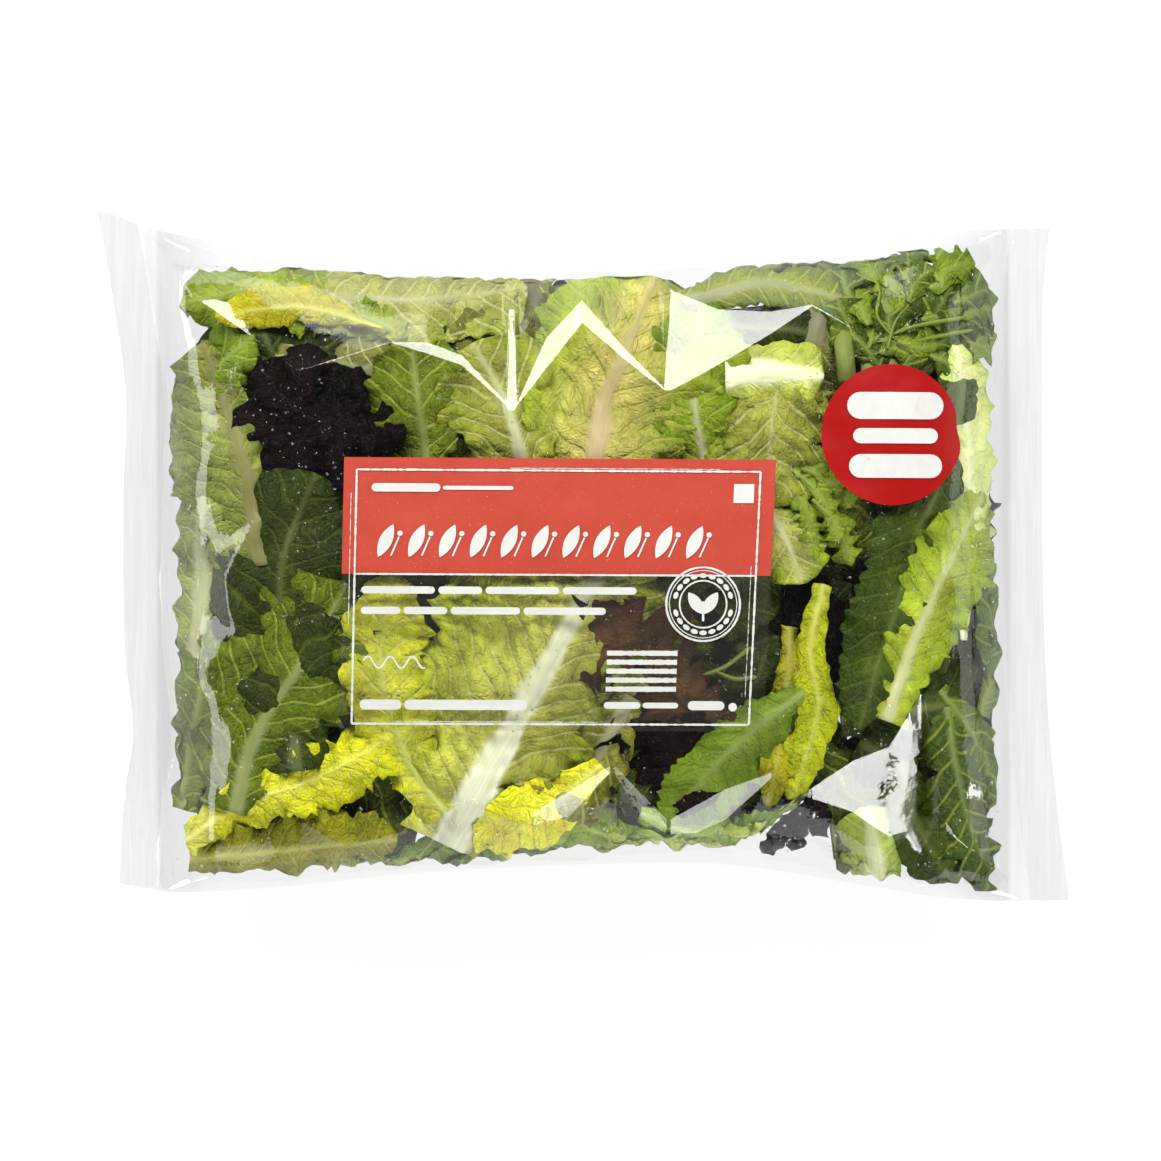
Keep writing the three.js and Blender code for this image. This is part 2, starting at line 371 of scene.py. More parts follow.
class Graph:
    """A short way to write a node tree."""

    def __init__(self, name):
        self.material = bpy.data.materials.new(name)
        self.material.use_nodes = True
        self.tree = self.material.node_tree
        self.tree.nodes.clear()
        self.out = self.tree.nodes.new("ShaderNodeOutputMaterial")

    def put(self, socket, value):
        if isinstance(value, bpy.types.NodeSocket):
            self.tree.links.new(value, socket)
        else:
            socket.default_value = value

    def node(self, kind, inputs=None, **settings):
        made = self.tree.nodes.new("ShaderNode" + kind)
        for key, value in settings.items():
            setattr(made, key, value)
        for key, value in (inputs or {}).items():
            self.put(made.inputs[key], value)
        return made

    def math(self, operation, a, b=0.0, c=0.0):
        made = self.tree.nodes.new("ShaderNodeMath")
        made.operation = operation
        for socket, value in zip(made.inputs, (a, b, c)):
            self.put(socket, value)
        return made.outputs[0]

    def times(self, a, b):
        return self.math("MULTIPLY", a, b)

    def times_plus(self, a, b, c):
        return self.math("MULTIPLY_ADD", a, b, c)

    def one_minus(self, value):
        return self.math("SUBTRACT", 1.0, value)

    def step(self, low, high, value):
        inputs = {"Value": value, "From Min": low, "From Max": high}
        return self.node("MapRange", inputs, interpolation_type="SMOOTHSTEP").outputs[0]

    def blend(self, share, a, b, kind="MIX"):
        made = self.tree.nodes.new("ShaderNodeMix")
        made.data_type = "RGBA"
        made.blend_type = kind
        self.put(made.inputs[0], share)
        self.put(made.inputs[6], a)
        self.put(made.inputs[7], b)
        return made.outputs[2]

    def noise(self, vector, scale, detail=2.0, roughness=0.5):
        inputs = {"Vector": vector, "Scale": scale, "Detail": detail, "Roughness": roughness}
        return self.node("TexNoise", inputs).outputs[0]

    def cells(self, vector, scale):
        """The distance to the nearest border between cells."""
        inputs = {"Vector": vector, "Scale": scale}
        return self.node("TexVoronoi", inputs, feature="DISTANCE_TO_EDGE").outputs["Distance"]

    def value(self, attribute, output):
        """A value kept per point of the mesh."""
        return self.node("Attribute", attribute_name=attribute).outputs[output]

    def bump(self, height, strength, depth):
        """The surface direction over bumps of a depth in millimetres."""
        inputs = {"Height": height, "Strength": strength, "Distance": depth * MM}
        return self.node("Bump", inputs).outputs[0]

    def clear(self, colour):
        return self.node("BsdfTransparent", {"Color": colour}).outputs[0]

    def mirror(self, **inputs):
        return self.node("BsdfGlossy", {"Color": WHITE, **inputs}).outputs[0]

    def surface(self, inputs):
        return self.node("BsdfPrincipled", inputs).outputs[0]

    def finish(self, shader):
        self.tree.links.new(shader, self.out.inputs["Surface"])
        return self.material

    def finish_mix(self, share, first, second):
        return self.finish(self.node("MixShader", {0: share, 1: first, 2: second}).outputs[0])


def linear(*screen):
    """A colour written as eight-bit screen values, as linear light."""
    shares = [c / 255 for c in screen]
    return tuple(((c + 0.055) / 1.055) ** 2.4 if c > 0.04 else c / 12.92 for c in shares) + (1.0,)


def object_place(graph, stretch=(1, 1, 1)):
    """The place on the object in centimetres, as a vector for textures."""
    place = graph.node("TexCoord").outputs["Object"]
    return graph.node("Mapping", {"Vector": place, "Scale": tuple(100 * s for s in stretch)}).outputs[0]


# How much the film mirrors from straight on, and what is added at a grazing angle.
FILM_SHINE = 0.055
FILM_EDGE_SHINE = 0.5
FILM_ROUGHNESS = 0.07
# Where the crinkled end and the crimp begin and are full, in centimetres from the bag's middle.
END_RANGE = (12.5, 15.2)
CRIMP_RANGE = (15.2, 15.4)
# The share of light that the film lets through: its body, and the darker and lighter streaks of the ends.
BODY_VEIL = (0.955, 0.958, 0.955, 1)
END_VEILS = ((0.855, 0.858, 0.856, 1), (0.885, 0.887, 0.885, 1))
CRIMP_VEILS = ((0.93, 0.932, 0.93, 1), (0.975, 0.976, 0.975, 1))


def film_material():
    """Clear film: see-through, with mirror gloss by angle and fine crinkles, stronger along the ends."""
    graph = Graph("film")
    place = object_place(graph)
    fine = graph.noise(place, 1.1, 3.0, 0.55)
    crinkle = graph.noise(object_place(graph, (3.2, 0.35, 1)), 1.0, 2.0)
    along = graph.math("ABSOLUTE", graph.node("SeparateXYZ", {"Vector": place}).outputs[0])
    at_end = graph.step(*END_RANGE, along)
    at_crimp = graph.step(*CRIMP_RANGE, along)
    height = graph.math("ADD", fine, graph.times(crinkle, graph.times_plus(at_end, 1.6, 0.1)))
    bump = graph.bump(height, 0.25, 0.8)
    streaks = graph.step(0.35, 0.75, graph.noise(object_place(graph, (4.0, 0.22, 1)), 1.0, 4.0, 0.7))
    body = graph.blend(at_end, BODY_VEIL, graph.blend(streaks, *END_VEILS))
    veil = graph.blend(at_crimp, body, graph.blend(streaks, *CRIMP_VEILS))
    grazing = graph.node("LayerWeight", {"Blend": 0.5, "Normal": bump}).outputs["Facing"]
    shine = graph.times_plus(graph.math("POWER", grazing, 5.0), FILM_EDGE_SHINE, FILM_SHINE)
    return graph.finish_mix(shine, graph.clear(veil), graph.mirror(Roughness=FILM_ROUGHNESS, Normal=bump))


# Veins: how far those of one side are shifted from the other's, in spacings, and how many cells of the
# coarse and the fine net there are in a centimetre.
VEIN_SHIFT = 0.45
NET_SCALE = 2.1
FINE_NET_SCALE = 6.0
FINE_NET_SHARE = 0.35
# What the blade's mottling and the rib's grain multiply their colours by, from dark to light.
BLADE_SHADES = ((0.84, 0.87, 0.72, 1), (1.18, 1.15, 1.08, 1))
RIB_SHADES = ((0.74, 0.8, 0.62, 1), (1.14, 1.12, 1.12, 1))
# The relief of the blade's domes, its side veins, the fine net and the rib, as shares of the bump's depth.
DOME_RELIEF = 0.8
VEIN_RELIEF = -0.55
FINE_RELIEF = 0.3
RIB_RELIEF = 0.9


def leaf_material(name, vein, vein_share, net_share, spacing, slant, roughness, bump_depth, gloss=0.14):
    """A leaf: its own colour per point, a pale rib, curved side veins, and blisters in a net of fine ones."""
    graph = Graph(name)
    uv = graph.node("UVMap", uv_map="leaf").outputs[0]
    along, across = graph.node("SeparateXYZ", {"Vector": uv}).outputs[:2]
    lateral = graph.math("ABSOLUTE", across)

    shift = graph.times(graph.math("GREATER_THAN", across, 0.0), VEIN_SHIFT)
    place = graph.math("ADD", graph.math("DIVIDE", graph.times_plus(lateral, -slant, along), spacing), shift)
    side_vein = graph.one_minus(graph.step(0.02, 0.28, graph.times(graph.math("PINGPONG", place, 0.5), 2.0)))
    wiggle = graph.node("TexNoise", {"Vector": uv, "Scale": 2.4, "Detail": 2.0}).outputs["Color"]
    warped = graph.node("VectorMath", {0: uv, 1: wiggle}, operation="ADD").outputs[0]
    cells = graph.cells(warped, NET_SCALE)
    fine_cells = graph.cells(warped, FINE_NET_SCALE)
    net = graph.one_minus(graph.step(0.01, 0.09, cells))
    fine_net = graph.one_minus(graph.step(0.02, 0.12, fine_cells))
    rib = graph.step(-0.14, 0.12, graph.math("SUBTRACT", graph.value("rib", "Fac"), lateral))

    shade = graph.blend(graph.step(0.3, 0.7, graph.noise(uv, 1.7, 4.0, 0.6)), *BLADE_SHADES)
    blade = graph.blend(1.0, graph.value("tint", "Color"), shade, "MULTIPLY")
    pale = graph.math("MAXIMUM", graph.times(side_vein, vein_share), graph.times(net, net_share))
    pale = graph.math("MAXIMUM", pale, graph.times(fine_net, net_share * FINE_NET_SHARE))
    grain = graph.node("Mapping", {"Vector": uv, "Scale": (0.5, 9.0, 1.0)}).outputs[0]
    streak = graph.blend(graph.noise(grain, 1.0, 2.0), *RIB_SHADES)
    rib_colour = graph.blend(1.0, graph.value("rib_tint", "Color"), streak, "MULTIPLY")
    colour = graph.blend(rib, graph.blend(pale, blade, vein), rib_colour)

    domes = graph.times(graph.step(0.0, 0.35, cells), DOME_RELIEF)
    relief = graph.math("ADD", domes, graph.times(side_vein, VEIN_RELIEF))
    relief = graph.times_plus(graph.step(0.0, 0.3, fine_cells), FINE_RELIEF, relief)
    relief = graph.times_plus(rib, RIB_RELIEF, graph.times(relief, graph.one_minus(rib)))
    bump = graph.bump(relief, 0.8, bump_depth)
    inputs = {"Base Color": colour, "Roughness": roughness, "Normal": bump, "Specular IOR Level": gloss}
    return graph.finish(graph.surface(inputs))


# Leaves. Each kind sets how its leaves are built and coloured.

GREEN, DARK, PALE, YELLOW, RED = "leaf_green", "leaf_dark", "leaf_pale", "leaf_yellow", "leaf_red"
# What every leaf has unless its kind or its own call says otherwise.
PLAIN_LEAF = dict(
    teeth=0.0, cuts=0.0, tone=1.0, curl=2.2, fade=0.4, pith=0, right_shade=0, wall_light=0, loose=False,
)
# Colours of the middle, the margin and the rib as screen values, then heights and the rib's half width in
# millimetres, then shares of the half width.
KINDS = {
    "smooth": dict(
        group=DARK, inner=(74, 90, 17), outer=(60, 78, 11), ribs=(150, 162, 92), ruffle=1.2,
        blister=1.0, rib=2.0, lobes=0.06, frill=0.02, base=0.45, tip=0.72),
    "toothed": dict(
        group=DARK, inner=(92, 112, 26), outer=(72, 96, 14), ribs=(140, 156, 84), ruffle=1.4,
        blister=0.9, rib=1.4, lobes=0.06, frill=0.04, teeth=0.13, base=0.5, tip=0.7),
    "romaine": dict(
        group=GREEN, inner=(160, 172, 72), outer=(124, 142, 30), ribs=(216, 214, 164), ruffle=1.6,
        blister=1.2, rib=4.5, lobes=0.08, frill=0.04, base=0.5, tip=0.68),
    "frilly": dict(
        group=GREEN, inner=(114, 136, 22), outer=(108, 130, 12), ribs=(178, 192, 108), ruffle=3.0,
        blister=1.2, rib=1.8, lobes=0.14, frill=0.09, base=0.4, tip=0.7),
    "pale": dict(
        group=PALE, inner=(206, 206, 112), outer=(176, 184, 52), ribs=(234, 230, 190), ruffle=1.8,
        blister=1.4, rib=5.0, lobes=0.1, frill=0.05, base=0.5, tip=0.7),
    "yellow": dict(
        group=YELLOW, inner=(208, 200, 34), outer=(200, 192, 14), ribs=(224, 220, 110), ruffle=3.0,
        blister=1.5, rib=1.2, lobes=0.14, frill=0.1, base=0.5, tip=0.75),
    "red": dict(
        group=RED, inner=(28, 9, 10), outer=(14, 3, 4), ribs=(40, 18, 18), ruffle=3.4,
        blister=1.8, rib=0.5, lobes=0.24, frill=0.2, base=0.45, tip=0.7),
    "feather": dict(
        group=GREEN, inner=(126, 148, 34), outer=(98, 122, 14), ribs=(170, 186, 92), ruffle=2.4,
        blister=0.4, rib=0.8, lobes=0.12, frill=0.1, teeth=0.1, cuts=0.66, base=0.25, tip=0.8),
    "stem": dict(
        group=PALE, inner=(206, 206, 144), outer=(196, 196, 126), ribs=(224, 222, 178), ruffle=0.3,
        blister=0.3, rib=0.0, pith=30, lobes=0.02, frill=0.0, base=0.9, tip=0.92),
}
# The veins of each group, with their spacing in centimetres and the depth of the bumps in millimetres.
LEAF_LOOKS = {
    GREEN: dict(
        vein=linear(184, 194, 76), vein_share=0.45, net_share=0.13, spacing=0.75, slant=0.8,
        roughness=0.38, bump_depth=0.95),
    DARK: dict(
        vein=linear(120, 140, 42), vein_share=0.24, net_share=0.1, spacing=0.85, slant=0.7,
        roughness=0.36, bump_depth=0.9),
    PALE: dict(
        vein=linear(228, 228, 146), vein_share=0.4, net_share=0.1, spacing=0.8, slant=0.9,
        roughness=0.36, bump_depth=0.8),
    YELLOW: dict(
        vein=linear(226, 222, 70), vein_share=0.3, net_share=0.12, spacing=0.7, slant=0.8,
        roughness=0.38, bump_depth=1.3),
    RED: dict(
        vein=linear(50, 24, 26), vein_share=0.12, net_share=0.08, spacing=0.8, slant=0.7,
        roughness=0.34, bump_depth=1.0, gloss=0.07),
}
LEAF_NAMES = {
    GREEN: "green_leaves", DARK: "dark_leaves", PALE: "pale_leaves",
    YELLOW: "yellow_leaves", RED: "red_leaves",
}
# Wave lengths along a leaf's edge, in millimetres.
LOBE_LENGTHS = (31, 17, 9.5)
FRILL_LENGTHS = (6.1, 3.9)
TOOTH_LENGTH = 3.6
CUT_LENGTH = 5.4
RUFFLE_LENGTHS = (15, 7.2)
# How deep the top leaves lie, the light level of all colours, and the brightest colour.
LEAF_SINK = 1.7
LEAF_LEVEL = 0.55
BRIGHTEST = 0.88
# Room under the shown film and over the underside, and how softly leaves press against the film.
TOP_CLEARANCE = 0.9
BASE_CLEARANCE = 0.8
PRESS_START = 0.8
PRESS_SOFTNESS = 2.5
LEAST_BASE_ROOM = 0.6
# A blade's thickness, what its rib adds as a share of the rib's half width, and the least it may have.
LEAF_THICKNESS = 0.45
RIB_THICKNESS = 1.1
LEAST_THICKNESS = 0.3
RIB_HEIGHT = 0.45
# How far the leaves keep from the long edges of the film, at the stations along it.
FAR_CLEAR = [(-151, 18), (-140, 13), (-122, 9), (-103, 3.5), (151, 3.5)]
NEAR_CLEAR = [
    (-151, 4), (-100, 5.5), (-50, 4), (-20, 5), (0, 7), (40, 7.5), (57, 9), (80, 30), (88.5, 30), (90, 4.5),
    (151, 3.5),
]
LOOSE_CLEAR = 3.5
CLEAR_SOFTNESS = 4
CLEAR_UP_TO = 165
FAR_RAGGEDNESS = 0.45
# Beyond this distance from the middle the leaves are squeezed together towards the ends.
LEAF_END = 140
END_SQUEEZE = 7.4
groups = {key: [] for key in (GREEN, DARK, PALE, YELLOW, RED)}


def route_points(points, count):
    """Evenly spaced places on a smooth curve through the given ones."""
    p = np.array(points, float)
    ends = np.concatenate([[2 * p[0] - p[1]], p, [2 * p[-1] - p[-2]]])
    t = np.linspace(0, len(p) - 1, 160)
    k = np.minimum(t.astype(int), len(p) - 2)
    f = (t - k)[:, None]
    a, b, c, d = ends[k], ends[k + 1], ends[k + 2], ends[k + 3]
    path = 0.5 * (2 * b + (c - a) * f + (2 * a - 5 * b + 4 * c - d) * f**2 + (3 * b - a - 3 * c + d) * f**3)
    run = np.concatenate([[0], np.cumsum(np.hypot(*np.diff(path, axis=0).T))])
    even = np.linspace(0, run[-1], count)
    return np.stack([np.interp(even, run, path[:, 0]), np.interp(even, run, path[:, 1])], 1), run[-1]


def leaf_outline(u, look):
    """The share of its full width that a leaf has along its length."""
    rise = mix(look["base"], 1, smooth(0, 0.55, u))
    tip = np.clip((u - look["tip"]) / (1 - look["tip"]), 0, 1)
    return rise * np.maximum(0.03, 1 - tip**2.2) ** 0.55


def sines(at, lengths, rng):
    """A wavy line with waves of the given lengths, each fainter than the one before."""
    total = 0
    for k, length in enumerate(lengths):
        start = rng.uniform(0, 6.28)
        total = total + np.sin(2 * np.pi * at / length + start) / (1 + 0.5 * k)
    return total / 1.5


def leaf_margin(at, look, rng):
    """How far one side's edge stands in or out along the leaf, as a share of its width."""
    warped = at + 1.5 * sines(at, (23, 13), rng)
    edge = look["lobes"] * sines(warped, LOBE_LENGTHS, rng)
    edge = edge + look["frill"] * sines(warped, FRILL_LENGTHS, rng)
    tooth = (warped / TOOTH_LENGTH) % 1
    cut = 0.5 + 0.5 * np.cos(2 * np.pi * warped / CUT_LENGTH)
    return 1 + edge - look["teeth"] * tooth - look["cuts"] * cut


def keep_inside(x, y, seed, loose):
    """Folds leaves back where they would come too near the long edges."""
    ragged = 0
    if not loose:
        ragged = 1.3 * even_waves(x, y, seed + 33, 16, 6) + 0.8 * even_waves(x, y, seed + 34, 7, 6)
    for side, rows in ((1, FAR_CLEAR), (-1, NEAR_CLEAR)):
        room = LOOSE_CLEAR if loose else line(rows, x, 1) + 0.6 * (seed % 5) * (side < 0)
        limit = edge_out(x, side) - room - ragged * (FAR_RAGGEDNESS if side > 0 else 1)
        over = np.maximum(0, side * y - limit + CLEAR_SOFTNESS)
        y = y - side * (over - CLEAR_SOFTNESS * np.tanh(over / CLEAR_SOFTNESS))
    return y


def squeeze_ends(x, y, seed):
    """Presses leaves together towards the bag's ends, with a ragged front."""
    over = np.maximum(0, np.abs(x) - LEAF_END)
    ragged = END_SQUEEZE + 1.3 * even_waves(x, y, seed + 35, 11, 6)
    return np.sign(x) * (np.minimum(np.abs(x), LEAF_END) + ragged * np.tanh(over / END_SQUEEZE))


def middle_line(route, width, cell):
    """A leaf's middle line, the directions along and across it, its length and its count of columns."""
    places = [plan(*p) for p in route]
    _, length = route_points(places, 8)
    rows = max(10, int(length / cell)) + 1
    columns = 2 * max(4, int(width * MM_PER_PIXEL / cell / 2)) + 1
    middle, length = route_points(places, rows)
    along = np.gradient(middle, axis=0)
    along /= np.linalg.norm(along, axis=1)[:, None]
    return middle, along, np.stack([-along[:, 1], along[:, 0]], 1), length, columns


def blade_form(look, rng, u, v, at, side_width):
    """How far each point is from the middle line, how it ruffles up and down, and how it sways along."""
    reach = np.abs(v)
    margins = [leaf_margin(at, look, rng) for _ in range(2)]
    margin = 1 + (np.where(v > 0, *margins) - 1) * reach**1.5
    lateral = v * side_width * leaf_outline(u, look) * margin
    waves = [sines(at + 3 * sines(at, (37,), rng), RUFFLE_LENGTHS, rng) for _ in range(2)]
    ruffle = np.where(v > 0, *waves) * reach**1.6 * look["ruffle"]
    sway = 0.3 * look["ruffle"] * np.where(v > 0, *waves[::-1]) * reach**2
    return lateral, ruffle, sway


def vein_places(look, rng, seed, x, y, at, lateral, off_rib):
    """Places along and across the leaf in centimetres, and the domes between its veins from 0 to 1."""
    group = LEAF_LOOKS[look["group"]]
    along = (at + 1.1 * even_waves(x, y, seed + 40, 24, 8) * off_rib) / 10 + rng.uniform(0, 40)
    across = (lateral + 0.6 * even_waves(x, y, seed + 41, 20, 8) * off_rib) / 10
    out = np.abs(across)
    strip = (along - group["slant"] * out) / group["spacing"] + np.where(across > 0, VEIN_SHIFT, 0)
    dome = np.abs(np.sin(np.pi * strip)) ** 0.9
    return along, across, dome * (0.55 + 0.45 * np.abs(np.sin(np.pi * out / 0.62 + seed)))


def lay(x, y, relief, sunk, curl, floor):
    """The upper heights of a leaf against the shown film, or on the underside, and the lowest it may go."""
    ceiling = film_top(x, y) - TOP_CLEARANCE
    ground = film_base(x, y) + BASE_CLEARANCE
    z = ground + sunk - relief + curl if floor else ceiling - sunk + relief - curl - LEAF_SINK
    over = z - (ceiling - PRESS_START)
    z = np.where(over > 0, ceiling - PRESS_START + PRESS_START * np.tanh(over / PRESS_SOFTNESS), z)
    return np.clip(z, ground + LEAST_BASE_ROOM, np.maximum(ceiling, ground + 0.7)), ground


def point_colours(tint):
    """Colours per point, no brighter than a real leaf's."""
    flat = tint.reshape(-1, 3).clip(0, BRIGHTEST)
    return np.concatenate([flat, np.ones((len(flat), 1))], 1)


def leaf_colours(look, u, v, shade, at_wall):
    """The blade's and the rib's colours at each point, with painted shade and painted light in the blade's.
    """
    reach = np.abs(v)
    tone = look["tone"] * LEAF_LEVEL
    inner, outer, ribs = (np.array(linear(*look[key])[:3]) for key in ("inner", "outer", "ribs"))
    edge_share = smooth(0.05, 0.85, reach * (0.55 + 0.75 * u))[..., None]
    # Painted shade darkens the right half of some leaves, and painted light brightens a leaf where it meets
    # the film's wall.
    light = np.where(v > 0, 1, 1 - look["right_shade"] * smooth(0, 0.3, reach)) * np.ones_like(u)
    light = light * (1 + look["wall_light"] * at_wall)
    tint = mix(inner, outer, edge_share) * (shade * light)[..., None] * tone
    ribs = ribs * tone
    rib_tint = mix(ribs, mix(ribs, outer, look["fade"]), (u * np.ones_like(v))[..., None])
    return point_colours(tint), point_colours(rib_tint)


def leaf(kind, route, left, right, depth, seed, cell=1.6, floor=False, **changes):
    """One leaf along a route in photograph pixels, with its widths there, and its depth under the film in mm.

    The leaf lies against the film, or with floor set, on the underside film.
    """
    look = {**PLAIN_LEAF, **KINDS[kind], **changes}
    rng = np.random.default_rng(seed)
    middle, along, normal, length, columns = middle_line(route, left + right, cell)
    rows = len(middle)
    u = np.linspace(0, 1, rows)[:, None]
    v = np.linspace(-1, 1, columns)[None, :]
    reach = np.abs(v)
    at = u * length
    lateral, ruffle, sway = blade_form(look, rng, u, v, at, np.where(v > 0, left, right) * MM_PER_PIXEL)
    x = middle[:, :1] + normal[:, :1] * lateral + along[:, :1] * sway
    y = middle[:, 1:] + normal[:, 1:] * lateral + along[:, 1:] * sway

    off_rib = np.minimum(1, np.abs(lateral) / 6)
    field_u, field_v, dome = vein_places(look, rng, seed, x, y, at, lateral, off_rib)
    bumps = look["blister"] * (dome + 0.25 * even_waves(x, y, seed + 900, 7, 10)) * off_rib
    swell = even_waves(x, y, seed + 500, 36, 8) * 1.5
    rib_half = np.maximum(look["rib"] * (1 - 0.8 * u) * np.ones_like(v), 0.01)
    from_rib = np.clip(np.abs(lateral) / np.maximum(rib_half, 0.3), 0, 1)
    on_rib = (0.5 + 0.5 * np.cos(np.pi * from_rib)) * min(1, look["rib"])
    relief = ruffle + bumps + swell + on_rib * RIB_HEIGHT * rib_half

    kept_y = np.where(np.abs(x) < CLEAR_UP_TO, keep_inside(x, y, seed, look["loose"]), y)
    at_wall = smooth(0.5, 6, np.abs(kept_y - y))
    x, y = squeeze_ends(x, kept_y, seed), kept_y
    depth = np.atleast_1d(depth)
    z, ground = lay(x, y, relief, mix(depth[0], depth[-1], u), look["curl"] * reach**2, floor)
    upper = np.stack([x, y, z], -1)
    lower = upper.copy()
    thickness = LEAF_THICKNESS + RIB_THICKNESS * on_rib * rib_half
    lower[..., 2] = np.maximum(z - thickness, np.minimum(ground, z - LEAST_THICKNESS))
    rim = grid_rim(rows, columns)
    points, faces = thin_solid(upper.reshape(-1, 3), lower.reshape(-1, 3), grid_triangles(rows, columns), rim)

    # Random tone, times painted shade that darkens the hollows between the blisters.
    shade = rng.uniform(0.94, 1.06) * (1 + 0.13 * even_waves(x, y, seed + 70, 22, 6)) * (0.84 + 0.3 * dome)
    colours, rib_colours = leaf_colours(look, u, v, shade, at_wall)
    rib_seen = np.maximum(rib_half, look["pith"]).reshape(-1) / 10
    uv = np.stack([field_u, field_v], -1).reshape(-1, 2)
    groups[look["group"]].append((points, faces, colours, rib_colours, rib_seen, uv))


